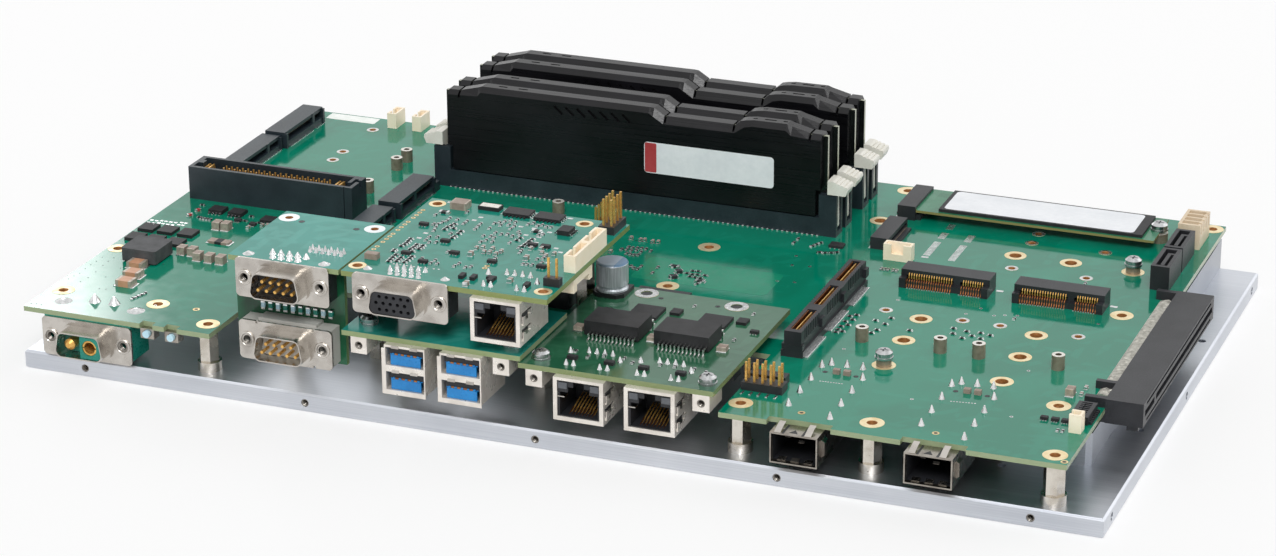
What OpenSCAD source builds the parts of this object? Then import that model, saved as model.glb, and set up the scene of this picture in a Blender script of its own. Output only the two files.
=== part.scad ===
// Single board server: a main board on an aluminium base plate, with plug-in cards along its front edge.
// Each piece is placed from the main board's front left corner, on the board's top face.

/* [Base plate] */
// Width of the base plate, left to right
plate_w = 342; // [340:0.5:352]
// Depth of the base plate, front to back
plate_d = 198; // [197.5:0.5:206]
// Thickness of the base plate
plate_t = 6; // [5:0.5:10]
// Width of the chamfer along the plate's edges
plate_ease = 0.6; // [0.3:0.1:1.6]
// Radius of the tapped holes
tap_r = 1.25; // [1:0.05:1.5]
// Depth of the tapped holes in the plate's edges
tap_depth = 12; // [8:1:16]
// Distance between the tapped holes along the front edge
front_tap_pitch = 75; // [60:1:80]
// Distance between the tapped holes along the right edge
side_tap_pitch = 90; // [70:1:92]
// Height of the standoffs' round feet
boss_h = 3; // [3:0.5:6]
// Diameter of the standoffs' round feet
boss_d = 7.4; // [6.6:0.1:7.4]

/* [Main board] */
// Width of the main board
board_w = 330.2; // [328:0.1:334]
// Depth of the main board
board_d = 197.3; // [195:0.1:198]
// Thickness of the main board
board_t = 1.6; // [1.2:0.1:2.4]
// Length of the standoffs' hexagonal part, between the feet and the board
standoff_h = 10; // [10:0.5:14]
// Width across the flats of the standoffs
standoff_af = 5.5; // [4.5:0.1:5.6]
// Depth of the cut-out in the board's front edge
cutout_d = 45; // [40:0.5:46]
// Radius of the screw holes in the boards
screw_hole_r = 1.6; // [1.4:0.05:1.8]
// Radius of the plated rings round the screw holes
ring_r = 3.6; // [2.6:0.1:4]
// Height of the processor package under the board
processor_h = 2.9; // [2:0.1:4]

/* [Cards] */
// Thickness of the cards
card_t = 1.6; // [1.2:0.1:2]
// Height of the serial and display cards' top faces over the main board
upper_card_z = 27; // [26.5:0.5:34]
// Height of the double socket card's top face over the main board
usb_card_z = 8; // [6.5:0.5:9]
// Height of the network card's top face over the main board
net_card_z = 6; // [5.5:0.5:9]
// Depth of the display card
display_card_d = 65.2; // [65:0.2:70]
// Side of the square threaded blocks under the cards
block_s = 5.2; // [5:0.1:5.4]

/* [Connectors] */
// Width of the nine-way connector flanges
flange_w = 30.8; // [30:0.1:31.4]
// Height of the nine-way connector flanges
flange_h = 12.5; // [12:0.1:12.6]
// Thickness of the nine-way connector flanges
flange_t = 0.8; // [0.5:0.1:1]
// Distance between the flange screw holes
flange_pitch = 25; // [24.5:0.1:25.4]
// How far the connector shells stand out of their flanges
shell_reach = 5.6; // [5:0.1:6.4]
// Wall of the pressed metal shells
sheet_t = 0.4; // [0.3:0.05:0.5]
// Width of the network jacks
jack_w = 15.7; // [15:0.1:16]
// Height of the network jacks
jack_h = 13.5; // [13:0.1:13.9]
// Depth of the network jacks
jack_d = 21; // [18:0.5:23]
// Width of the double sockets
usb_w = 13.1; // [12.8:0.1:14]
// Height of the double sockets
usb_h = 15; // [14.6:0.1:15.6]
// Width of the transceiver cages
cage_w = 14.3; // [14:0.1:14.8]
// Height of the transceiver cages
cage_h = 9.5; // [9:0.1:10]
// Length of the transceiver cages
cage_l = 48.8; // [44:0.2:49.4]
// Length of the expansion slot
slot_l = 88.6; // [84:0.2:92]
// Depth of the expansion slot, out of the board's edge
slot_out = 11.3; // [10:0.1:12]

/* [Memory] */
// Length of a memory module
module_l = 133.4; // [130:0.2:135]
// Height of a memory module's board over the main board
module_top = 33.2; // [31:0.1:33.4]
// Height of the heat spreaders' upper edge over the main board
spreader_top = 36.2; // [36:0.1:38]
// Thickness of a spreader round its module
spreader_t = 7; // [5:0.1:7.6]
// Depth of a memory socket, front to back
dimm_d = 6.5; // [5.4:0.1:7]
// Height of the socket rails
dimm_rail_h = 6.2; // [5:0.1:7]
// Height of the socket towers that hold the latches
dimm_tower_h = 14; // [12:0.5:16]
// Distance between two sockets of a pair
dimm_pitch = 9.9; // [9.2:0.1:10.4]

/* [Drive and switches] */
// Width of the plug-in drive
drive_w = 22; // [20:0.5:23]
// Length of the plug-in drive
drive_l = 80; // [76:1:82]
// Height of the drive's board over the main board
drive_z = 3; // [2.6:0.1:3.4]
// Radius of the push switches' plungers
plunger_r = 1.15; // [0.8:0.05:1.3]
// How far the plungers stand out of the switch bodies
plunger_out = 1.0; // [0.7:0.1:1.4]

/* [Hidden] */
$fn = 32;
gap = 0.1;

// The plate under the board, in board coordinates
plate_x0 = -0.5;
plate_y0 = -0.3;
plate_right = plate_x0 + plate_w;
plate_back = plate_y0 + plate_d;
block_right = plate_right - 12.5;
under = -board_t;
plate_top = under - standoff_h - boss_h;

// The object's own frame: centred over the base plate's underside
front_y = -flange_t - shell_reach;
right_x = max(plate_right, board_w + slot_out);
board_x = -(plate_x0 + right_x) / 2;
board_y = -(front_y + plate_back) / 2;
board_z = plate_t - plate_top;

// Distances from the board's right and back edges
function rx(d) = board_w - d;
function by(d) = board_d - d;

// Card levels and outlines
upper_under = upper_card_z - card_t;
usb_under = usb_card_z - card_t;
net_under = net_card_z - card_t;
serial_x = [71.8, 108.2];
display_x = [109, 174.8];
usb_card_x = [108.5, 166];
net_x = [165.3, 226];
serial_card_d = 39;
usb_card_d = 36;
net_card_d = 67;
cutout_x = [64, 227.5];

// Front row: centres of the connectors
power_cx = 22;
serial_cx = 89.8;
display_cx = 128.3;
lan_cx = 159.35;
usb_cx = [129.85, 147.85];
net_jack_cx = [185.15, 207.25];
cage_cx = [rx(78.45), rx(38.65)];
power_cz = under - 0.3 - flange_h / 2;
serial_up_cz = upper_card_z - flange_h / 2;
serial_low_cz = 7 - flange_h / 2;
display_cz = upper_card_z + 0.4 - flange_h / 2;
riser_y = 6;
block_cx = [114, 159.9];
net_block_cx = [170.3, 222.25];

// Standoffs on the plate, and longer posts under the cards
standoff_spots = [[60, 7], [rx(98.8), 8.3], [rx(59.2), 8.3], [rx(4.8), 5.5], [3.4, 53.2],
    [180, by(76.3)], [rx(106.2), by(4.5)], [31, by(12)]];
serial_posts = [[75.2, 34], [103.9, 34.3]];
usb_posts = [[115, 31], [160, 31]];
display_posts = [[112.7, 61], [161.8, 60.8]];
net_posts = [[181, 63.4], [210.3, 63]];

// Memory: four sockets in two pairs
dimm_cx = rx(185.6);
dimm_y = [by(51.0), by(51.0) + dimm_pitch, by(23.5), by(23.5) + dimm_pitch];
tower_l = 5.9;
socket_half = module_l / 2 + 3.9;
latch_slot = 3.2;
pivot_z = 3.2;
pivot_x = socket_half - 1.7;
module_t = 1.3;
module_foot = 1.6;

// Drive and small connectors on the right
drive_y = by(20.2);
drive_x0 = rx(96.7);
switch_cx = [42.4, 50.7];
switch_cz = under - 1.6;

module on_board() {
    translate([board_x, board_y, board_z]) children();
}

// A block given by its limits along each axis
module slab(x, y, z) {
    translate([x[0], y[0], z[0]])
        cube([x[1] - x[0], y[1] - y[0], z[1] - z[0]]);
}

// A flat outline with round corners: the corner centres run anticlockwise, and the sides lie
// inside the corners' tangents by the inset
module soft_outline(c, r, inset = 0) {
    polygon([for (i = [0:len(c) - 1], k = [0, 1])
        let (a = c[i], b = c[(i + 1) % len(c)], d = (b - a) / norm(b - a))
        (k == 0 ? a : b) + (r - inset) * [d[1], -d[0]]]);
    for (p = c) translate(p) circle(r);
}

module soft_rect(x, y, r) {
    soft_outline([[x[0] + r, y[0] + r], [x[1] - r, y[0] + r], [x[1] - r, y[1] - r], [x[0] + r, y[1] - r]], r);
}

module eased_rect(x, y, e) {
    polygon([[x[0] + e, y[0]], [x[1] - e, y[0]], [x[1], y[0] + e], [x[1], y[1] - e],
        [x[1] - e, y[1]], [x[0] + e, y[1]], [x[0], y[1] - e], [x[0], y[0] + e]]);
}

// An outline drawn in x and z, carried from y0 back to y1
module along_y(y0, y1) {
    translate([0, y1, 0]) rotate([90, 0, 0]) linear_extrude(y1 - y0) children();
}

// An outline drawn in y and z, carried from x0 to x1
module along_x(x0, x1) {
    translate([x0, 0, 0]) rotate([90, 0, 90]) linear_extrude(x1 - x0) children();
}

module upright(z0, z1) {
    translate([0, 0, z0]) linear_extrude(z1 - z0) children();
}

module rod(p, r, z0, z1) {
    translate([p[0], p[1], z0]) cylinder(r = r, h = z1 - z0);
}

// Base plate, with tapped holes in its edges and its top, and what lies between it and the board
module base_plate() {
    mid_z = plate_top - plate_t / 2;
    color("gainsboro") on_board() difference() {
        intersection() {
            along_x(plate_x0, plate_right)
                eased_rect([plate_y0, plate_back], [plate_top - plate_t, plate_top], plate_ease);
            along_y(plate_y0, plate_back)
                eased_rect([plate_x0, plate_right], [plate_top - plate_t, plate_top], plate_ease);
        }
        for (k = [-2:2]) {
            translate([plate_x0 + plate_w / 2 + k * front_tap_pitch, plate_y0 - 1, mid_z])
                rotate([-90, 0, 0]) cylinder(r = tap_r, h = tap_depth + 1);
        }
        for (k = [-1:1]) {
            translate([plate_right - tap_depth, plate_y0 + plate_d / 2 + k * side_tap_pitch, mid_z])
                rotate([0, 90, 0]) cylinder(r = tap_r, h = tap_depth + 1);
        }
        for (p = [[plate_right - 4, 135], [plate_right - 5.5, 62.5], [plate_right - 36.5, 24.5]])
            rod(p, tap_r, plate_top - plate_t - 1, plate_top + 1);
    }
}

module heat_block() {
    right = block_right;
    left = right - 98.8;
    step_x = right - 26;
    back = plate_back - 0.2;
    top = under - processor_h;
    bevel = 1.6;
    color("silver") on_board() upright(plate_top, top) polygon([
        [left, 48], [step_x, 48], [step_x, 32], [right - bevel, 32], [right, 32 + bevel],
        [right, back], [left, back]]);
}

module processor() {
    cx = block_right - 63.8;
    cy = by(90);
    color("dimgray") on_board() {
        slab([cx - 21, cx + 21], [cy - 21, cy + 21], [under - 1.2, under]);
        slab([cx - 16, cx + 16], [cy - 16, cy + 16], [under - processor_h, under - 1.2]);
    }
}

// Hexagonal standoff, on a round foot where foot is above 0
module standoff(p, z0, z1, foot = 0) {
    translate([p[0], p[1], z0]) difference() {
        union() {
            translate([0, 0, foot]) cylinder(r = standoff_af / 2 / cos(30), h = z1 - z0 - foot, $fn = 6);
            if (foot > 0) cylinder(r = boss_d / 2, h = foot);
        }
        translate([0, 0, -1]) cylinder(r = tap_r, h = z1 - z0 + 2);
    }
}

module board_standoffs() {
    color("silver") on_board() {
        for (p = standoff_spots) standoff(p, plate_top, under, boss_h);
        for (p = serial_posts) standoff(p, plate_top, upper_under);
        for (p = usb_posts) standoff(p, plate_top, usb_under);
        for (p = display_posts) standoff(p, 0, upper_under);
        for (p = net_posts) standoff(p, 0, net_under);
    }
}

// Screw holes of the boards: gold rings where screws or standoffs sit, wider holes where plug-in
// cards are fastened, and small tinned ones
corner_holes = [[5, 15.7], [38.1, 15.8], [3.4, 53.2], [60, 7], [rx(98.8), 8.3], [rx(59.2), 8.4],
    [rx(4.8), 5.4], [179.5, 85.2], [180, by(76.3)], [rx(106.2), by(4.5)], [rx(12.8), 111.5],
    [rx(12.8), 38.6], [rx(3.6), by(3.9)]];
slot_holes = [[rx(106.3), by(34.4)], [rx(56.7), by(49)], [rx(38.6), by(49)], [rx(69.1), 87.3],
    [rx(69), 69.4], [rx(32.9), 87.1], [rx(32.9), 69.4], [rx(32.9), 49.8]];
tin_holes = [[rx(54.8), by(36.5)], [rx(30.7), by(36.5)], [rx(54.9), by(27.9)], [rx(54.8), by(60)],
    [rx(30.7), by(60)], [rx(81.2), 90.3], [rx(56.9), 90.5], [rx(45.1), 90.5], [rx(20.8), 90.5],
    [31, by(12)], [31, by(36)], [31.4, by(44.7)]];
serial_holes = serial_posts;
display_gold_holes = [[111.9, 5.4], [112.7, 61], [161.8, 60.8], [171.3, 5.6]];
net_holes = net_posts;
slot_hole_r = 2;
net_hole_r = 1.85;

module board_outline() {
    difference() {
        square([board_w, board_d]);
        translate([cutout_x[0], -1]) square([cutout_x[1] - cutout_x[0], cutout_d + 1]);
        for (x = switch_cx) translate([x - 2.2, -1]) square([4.4, 3.5]);
        for (x = cage_cx) translate([x - 9.6, -1]) square([19.2, 3.5]);
    }
}

module main_board() {
    color("seagreen") on_board() difference() {
        upright(under, 0) board_outline();
        for (p = corner_holes) rod(p, screw_hole_r, under - 1, 1);
        for (p = slot_holes) rod(p, slot_hole_r, under - 1, 1);
        for (p = tin_holes) rod(p, 1.2, under - 1, 1);
    }
}

// Cards along the front edge
module card(x, d, top, holes, r) {
    color("seagreen") on_board() difference() {
        slab(x, [0, d], [top - card_t, top]);
        for (p = holes) rod(p, r, top - card_t - 1, top + 1);
    }
}

module serial_card() {
    card(serial_x, serial_card_d, upper_card_z, serial_holes, 1.3);
}

module display_card() {
    card(display_x, display_card_d, upper_card_z, display_gold_holes, screw_hole_r);
}

module usb_card() {
    holes = [for (x = block_cx) [x, block_s / 2 + 5.2], for (p = usb_posts) p];
    card(usb_card_x, usb_card_d, usb_card_z, holes, screw_hole_r);
}

module network_card() {
    holes = [for (x = net_block_cx) [x, block_s / 2 + 3], for (p = net_holes) p];
    card(net_x, net_card_d, net_card_z, holes, screw_hole_r);
}

// Upright board behind the two serial connectors, with its pin strip under the card
module serial_riser() {
    color("darkgreen") on_board() {
        slab([71, 107], [riser_y, riser_y + card_t], [-6, upper_under]);
        slab([88, 106], [riser_y + card_t, riser_y + card_t + 5], [upper_under - 3, upper_under]);
    }
}

// Nine-way connectors. The D outline is widest at its lower edge
function d_corners(w, h, r) = let (
    side = w / 2 - r / cos(10),
    low = side - r * tan(10),
    high = side - (h - r) * tan(10)
) [[-low, r - h / 2], [low, r - h / 2], [high, h / 2 - r], [-high, h / 2 - r]];

module d_outline(w, h, r = 2.2) {
    soft_outline(d_corners(w, h, r), r, 0.01);
}

// Pressed flange and shell: the flange's back lies on y = 0
module d_shell(w, h, hole_r, collar) {
    inner_w = w - 2 * sheet_t;
    inner_h = h - 2 * sheet_t;
    difference() {
        union() {
            along_y(-flange_t, 0)
                soft_rect([-flange_w / 2, flange_w / 2], [-flange_h / 2, flange_h / 2], 1.4);
            along_y(-flange_t - 1.1, -flange_t / 2) d_outline(w + 1.5, h + 1.5, 2.6);
            along_y(-flange_t - shell_reach, -flange_t / 2) d_outline(w, h);
            for (s = [-1, 1]) translate([s * flange_pitch / 2, 0, 0])
                rotate([90, 0, 0]) cylinder(r = hole_r + collar, h = flange_t + 0.25);
        }
        along_y(-flange_t - shell_reach - 1, 1) d_outline(inner_w, inner_h, 1.9);
        for (s = [-1, 1]) translate([s * flange_pitch / 2, 1, 0])
            rotate([90, 0, 0]) cylinder(r = hole_r, h = flange_t + 2);
    }
}

male_w = 16.9;
male_h = 8.36;
female_w = 16.3;
female_h = 7.9;
recess = flange_t + 0.6;
screw_r = 1.45;

// Insulator: a D-shaped nose inside the shell and a body behind the flange
module d_insert(w, h, nose, low, top, depth) {
    along_y(-nose, 0) d_outline(w - 2 * sheet_t - 2 * gap, h - 2 * sheet_t - 2 * gap, 1.8);
    difference() {
        slab([-flange_w / 2 + 0.6, flange_w / 2 - 0.6], [0, depth], [low, top]);
        for (s = [-1, 1]) translate([s * flange_pitch / 2, -1, 0])
            rotate([-90, 0, 0]) cylinder(r = screw_r, h = depth + 2);
    }
}

// Pin places of a nine-way connector: four over five
function nine_ways() = [for (k = [0:4]) [(k - 2) * 2.77, -1.42], for (k = [0:3]) [(k - 1.5) * 2.77, 1.42]];

module power_shell() {
    color("silver") on_board() translate([power_cx, 0, power_cz])
        d_shell(male_w, male_h, 1.25, 0);
}

module power_insert() {
    nose = flange_t + shell_reach - 0.5;
    color("teal") on_board() translate([power_cx, 0, power_cz]) difference() {
        union() {
            d_insert(male_w, male_h, recess, -flange_h / 2 + 1, flange_h / 2 + 0.3, 11);
            intersection() {
                along_y(-nose, -recess) d_outline(male_w - 2 * sheet_t - 2 * gap, male_h - 2 * sheet_t - 2 * gap, 1.8);
                slab([0.4, male_w], [-nose, 0], [-male_h, male_h]);
            }
        }
        translate([3.6, 12, 0]) rotate([90, 0, 0]) cylinder(r = 2.5, h = nose + 13);
    }
}

module serial_shells() {
    color("silver") on_board() {
        translate([serial_cx, 0, serial_up_cz]) d_shell(male_w, male_h, screw_r, 0.9);
        translate([serial_cx + 0.3, 0, serial_low_cz]) difference() {
            d_shell(male_w, male_h, screw_r, 0.35);
            for (x = [-9.4, 9.4], z = [-1, 1]) translate([x - 0.35, -flange_t - 0.5, z * flange_h / 2 - 0.7])
                cube([0.7, flange_t + 1, 1.4]);
        }
    }
}

module serial_inserts() {
    up = upper_under - serial_up_cz;
    color("dimgray") on_board() {
        translate([serial_cx, 0, serial_up_cz])
            d_insert(male_w, male_h, recess, -flange_h / 2 + 1, up, riser_y);
        translate([serial_cx + 0.3, 0, serial_low_cz]) {
            d_insert(male_w, male_h, recess, -flange_h / 2 + 0.5, flange_h / 2 - 0.3, riser_y);
            slab([-9.6, 9.6], [1, riser_y], [flange_h / 2 - 0.3, flange_h / 2 + 0.6]);
        }
    }
}

module display_shell() {
    color("silver") on_board() translate([display_cx, 0, display_cz])
        d_shell(female_w, female_h, screw_r, 0.9);
}

module display_insert() {
    nose = flange_t + shell_reach - 0.3;
    up = upper_under - display_cz;
    color("black") on_board() translate([display_cx, 0, display_cz]) difference() {
        d_insert(female_w, female_h, nose, -flange_h / 2 + 1, up, 8);
        for (row = [-1:1], k = [0:4])
            translate([(k - 2) * 2.3 + (row == 0 ? -0.6 : 0.5), 3 - nose, row * 2])
                rotate([90, 0, 0]) cylinder(r = 0.55, h = 4);
    }
}

// Network jack: a folded shell, open at the front, hung under its card
jack_y0 = -2.4;
jack_open_w = 11.9;

module jack_shell() {
    difference() {
        slab([-jack_w / 2, jack_w / 2], [jack_y0, jack_y0 + jack_d], [-jack_h, 0]);
        slab([-jack_w / 2 + sheet_t, jack_w / 2 - sheet_t],
            [jack_y0 + sheet_t, jack_y0 + jack_d - sheet_t], [-jack_h + sheet_t, -sheet_t]);
        slab([-6.6, 6.6], [jack_y0 - 1, jack_y0 + 1], [-jack_h + 1.3, -0.9]);
        for (z = [-3.9, -8.9])
            slab([jack_w / 2 - 1, jack_w / 2 + 1], [jack_y0 + 1.6, jack_y0 + 8.6], [z - 0.35, z + 0.35]);
    }
    for (z = [-3.9, -8.9]) translate([jack_w / 2, jack_y0 + 5.2, z - 2.2])
        rotate([90, 0, 90]) linear_extrude(0.35) polygon([[-3.4, -1.2], [2.6, -0.6], [2.6, 0.8], [-3.4, 1.5]]);
}

// Moulding inside the jack: a plug cavity with a stepped roof and two light pipes
module jack_insert() {
    x = jack_w / 2 - sheet_t - gap;
    y0 = jack_y0 + sheet_t + gap;
    y1 = jack_y0 + jack_d - sheet_t - gap;
    difference() {
        slab([-x, x], [y0, y1], [-jack_h + sheet_t + gap, -sheet_t - gap]);
        slab([-jack_open_w / 2, jack_open_w / 2], [y0 - 1, y0 + 12.5], [-jack_h + 1.6, -4.6]);
        slab([-3.4, 3.4], [y0 - 1, y0 + 12.5], [-4.7, -2.9]);
        slab([-1.7, 1.7], [y0 - 1, y0 + 12.5], [-3, -1.2]);
        for (s = [-1, 1]) slab([s * 5 - 1.4, s * 5 + 1.4], [y0 - 1, y0 + 0.4], [-3.6, -1.4]);
    }
}

module lan_shell() {
    color("silver") on_board() translate([lan_cx, 0, upper_under]) jack_shell();
}

module network_shells() {
    color("silver") on_board() for (x = net_jack_cx) translate([x, 0, net_under]) jack_shell();
}

module jack_inserts() {
    color("dimgray") on_board() {
        translate([lan_cx, 0, upper_under]) jack_insert();
        for (x = net_jack_cx) translate([x, 0, net_under]) jack_insert();
    }
}

// Double sockets: two bays over each other in one folded shell
usb_y0 = -2.2;
usb_d = 17.5;
bay_h = (usb_h - 3.4) / 2;

module usb_shell() {
    difference() {
        union() {
            slab([-usb_w / 2, usb_w / 2], [usb_y0, usb_y0 + usb_d], [-usb_h, 0]);
            slab([-usb_w / 2 - 0.9, usb_w / 2], [usb_y0, usb_y0 + sheet_t], [-usb_h - 0.8, -1.2]);
        }
        for (z = [-usb_h + 0.7, -bay_h - 0.7])
            slab([-usb_w / 2 + sheet_t, usb_w / 2 - sheet_t], [usb_y0 - 1, usb_y0 + usb_d - 1], [z, z + bay_h]);
    }
}

module usb_insert() {
    x = usb_w / 2 - sheet_t - gap;
    back = usb_y0 + usb_d - 1 - gap;
    for (z = [-usb_h + 0.7, -bay_h - 0.7]) {
        slab([-x, x], [back - 3.5, back], [z + gap, z + bay_h - gap]);
        slab([-x + 0.9, x - 0.9], [usb_y0 + 1.2, back - 3.5], [z + bay_h - 2.7, z + bay_h - 0.8]);
    }
}

module usb_shells() {
    color("silver") on_board() for (x = usb_cx) translate([x, 0, usb_under]) usb_shell();
}

module usb_inserts() {
    color("dodgerblue") on_board() for (x = usb_cx) translate([x, 0, usb_under]) usb_insert();
}

// Transceiver cages: long open boxes under the board, with a spring lip round the mouth
cage_y0 = -4.3;

module cage() {
    lip = 0.45;
    difference() {
        union() {
            slab([-cage_w / 2, cage_w / 2], [cage_y0, cage_y0 + cage_l], [-cage_h, 0]);
            for (s = [-1, 1]) translate([s * (cage_w / 2), cage_y0 + 4.6, -cage_h / 2]) along_y(-0.7, 2.4)
                polygon([[-0.3 * s, -2.9], [0.9 * s, -2], [0.9 * s, 2], [-0.3 * s, 2.9]]);
        }
        slab([-cage_w / 2 + lip, cage_w / 2 - lip], [cage_y0 - 1, cage_y0 + cage_l - lip], [-cage_h + lip, -lip]);
        for (k = [0:2]) slab([-3.6, 3.6], [cage_y0 + 16 + 9 * k, cage_y0 + 19 + 9 * k], [-cage_h - 1, -cage_h + 1]);
    }
}

module transceiver_cages() {
    color("silver") on_board() for (x = cage_cx) translate([x, 0, under]) cage();
}

// Threaded blocks under the cards' front corners, with the screws that hold them
module threaded_block(x, top) {
    translate([x, 0, top]) difference() {
        slab([-block_s / 2, block_s / 2], [0, block_s * 2], [-block_s, 0]);
        translate([0, -1, -block_s / 2]) rotate([-90, 0, 0]) cylinder(r = tap_r, h = block_s + 1);
    }
}

module threaded_blocks() {
    color("silver") on_board() {
        for (x = block_cx) threaded_block(x, usb_under);
        for (x = net_block_cx) threaded_block(x, net_under);
    }
}

// Pan head screw on a spring washer: its seat is z = 0
module pan_screw(shank = 0) {
    difference() {
        union() {
            cylinder(r = 2.8, h = 0.6);
            translate([0, 0, 0.6]) cylinder(r = 2.6, h = 1.3);
            translate([0, 0, 1.9]) cylinder(r1 = 2.6, r2 = 1.8, h = 0.7);
            if (shank > 0) translate([0, 0, -shank]) cylinder(r = screw_hole_r - 0.15, h = shank);
        }
        for (a = [0, 90]) rotate([0, 0, a]) translate([-1.3, -0.25, 1.7]) cube([2.6, 0.5, 2]);
    }
}

module card_screws() {
    color("gainsboro") on_board() {
        for (x = block_cx) translate([x, block_s / 2 + 5.2, usb_card_z]) pan_screw(card_t);
        for (x = net_block_cx) translate([x, block_s / 2 + 3, net_card_z]) pan_screw(card_t);
        for (p = post_spots) translate([p[0], p[1], post_h]) pan_screw();
        translate([drive_x1 - 0.6, drive_y, drive_z + drive_t]) pan_screw(drive_t);
    }
}

// Connectors that join the cards to the board below
module card_connectors() {
    color("black") on_board() {
        slab([131, 158], [56, 69.6], [0, 10.5]);
        slab([132.5, 156.5], [57, 64.6], [10.5, upper_under]);
        slab([net_x[0] + 10.1, net_x[0] + 26.9], [net_card_d - 0.2, net_card_d + 5.6], [0, net_under]);
        slab([net_x[1] - 4.6, net_x[1] - 0.4], [18.6, 24.2], [net_under - 2.6, net_under]);
        slab([net_x[1] + 2.2, net_x[1] + 13.4], [24.2, 28], [0, 2.6]);
        slab([display_x[0] + 0.4, display_x[0] + 2], [10, 34], [usb_card_z, upper_under]);
    }
}

// Memory sockets: a slotted rail between two towers, each with a channel for its latch
module dimm_socket() {
    half = socket_half;
    difference() {
        union() {
            slab([-half, half], [-dimm_d / 2, dimm_d / 2], [0, dimm_rail_h]);
            for (s = [-1, 1]) slab([min(s * half, s * (half - tower_l)), max(s * half, s * (half - tower_l))],
                [-dimm_d / 2, dimm_d / 2], [0, dimm_tower_h]);
        }
        slab([-module_l / 2 - gap, module_l / 2 + gap], [-module_t / 2 - gap, module_t / 2 + gap],
            [module_foot - 0.3, dimm_tower_h + 1]);
        slab([1.6 - pivot_x, pivot_x - 1.6], [-module_t / 2 - gap, module_t / 2 + gap],
            [dimm_tower_h - 3.4, dimm_tower_h + 1]);
        for (s = [-1, 1]) {
            slab([min(s * (half + 1), s * (pivot_x - 1.9)), max(s * (half + 1), s * (pivot_x - 1.9))],
                [-latch_slot / 2, latch_slot / 2], [pivot_z - 1.6, dimm_tower_h + 1]);
            translate([s * pivot_x, dimm_d / 2 - 0.7, pivot_z]) rotate([90, 0, 0])
                cylinder(r = 0.85, h = dimm_d - 1.4);
        }
    }
}

module dimm_sockets() {
    color("darkslategray") on_board() for (y = dimm_y) translate([dimm_cx, y, 0]) dimm_socket();
}

module memory_module() {
    difference() {
        slab([-module_l / 2, module_l / 2], [-module_t / 2, module_t / 2], [module_foot, module_top]);
        for (s = [-1, 1]) slab([s * module_l / 2 - 1.5, s * module_l / 2 + 1.5], [-2, 2],
            [dimm_tower_h - 3.2, dimm_tower_h - 0.2]);
    }
}

module memory_modules() {
    color("darkgreen") on_board() for (y = dimm_y) translate([dimm_cx, y, 0]) memory_module();
}

// Heat spreader: each station of its crown is a place along the module, then how far the top of
// the upright side and the crown's upper edge lie below the spreader's upper edge
spreader_l = -module_l / 2 + 1.6;
spreader_r = module_l / 2 - 1.5;
crown = [[spreader_l, 3.6, 2.2], [-60.8, 3.4, 2.1], [-54.4, 3.1, 0.4], [-53.2, 1.7, 0], [6.2, 1.6, 0],
    [7.7, 2.5, 0.1], [11.2, 4.7, 2.3], [35.8, 4.7, 2.3], [37.4, 3.6, 0.9], [39.1, 2.4, 0.5],
    [42, 1.8, 0.1], [53.2, 1.8, 0], [55, 3.3, 0.6], [60.7, 3.7, 2], [spreader_r, 3.7, 2.1]];

// The crown as one skin: six corners at each station, two triangles between neighbours
module spreader_crown() {
    half = spreader_t / 2;
    bevel = 1.6;
    last = 6 * (len(crown) - 1);
    corners = [for (c = crown)
        let (low = spreader_top - c[1], high = spreader_top - c[2])
        each [[c[0], -half, spreader_top - 7], [c[0], half, spreader_top - 7], [c[0], half, low],
            [c[0], half - bevel, high], [c[0], bevel - half, high], [c[0], -half, low]]];
    sides = [for (k = [0:6:last - 6], j = [0:5])
        let (a = k + j, b = k + (j + 1) % 6)
        each [[a, a + 6, b + 6], [a, b + 6, b]]];
    ends = [[for (j = [0:5]) j], [for (j = [5:-1:0]) last + j]];
    polyhedron(corners, concat(sides, ends));
}

// Two bevelled sides clasped round the module, cut by narrow gaps, vents and short slots
module memory_spreader() {
    half = spreader_t / 2;
    shoulder = dimm_tower_h + 1.6;
    inside = 1.6;
    difference() {
        union() {
            slab([spreader_l + inside, spreader_r - inside], [-half, half], [dimm_rail_h + 0.5, shoulder + 1]);
            slab([spreader_l, spreader_r], [-half, half], [shoulder, spreader_top - 6.5]);
            spreader_crown();
        }
        slab([-module_l, module_l], [-module_t / 2 - gap, module_t / 2 + gap], [0, module_top + gap]);
        for (x = [-61.4, 11.4, 35, 61])
            slab([x, x + 0.7], [-half - 1, half + 1], [spreader_top - 4.4, spreader_top + 1]);
        for (k = [0:6]) translate([-26.9 + 4 * k, -half - 1, spreader_top - 3.1])
            rotate([0, 41, 0]) slab([0, 3.9], [0, 1.9], [-0.4, 0.4]);
        for (s = [[-48, 3], [-41, 3.4], [41, 1.5], [45, 4], [51.3, 1.5]])
            slab([s[0], s[0] + s[1]], [-0.3, 0.5], [spreader_top - 0.8, spreader_top + 1]);
    }
}

module memory_spreaders() {
    color("black") on_board() for (y = dimm_y) translate([dimm_cx, y, 0]) memory_spreader();
}

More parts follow.
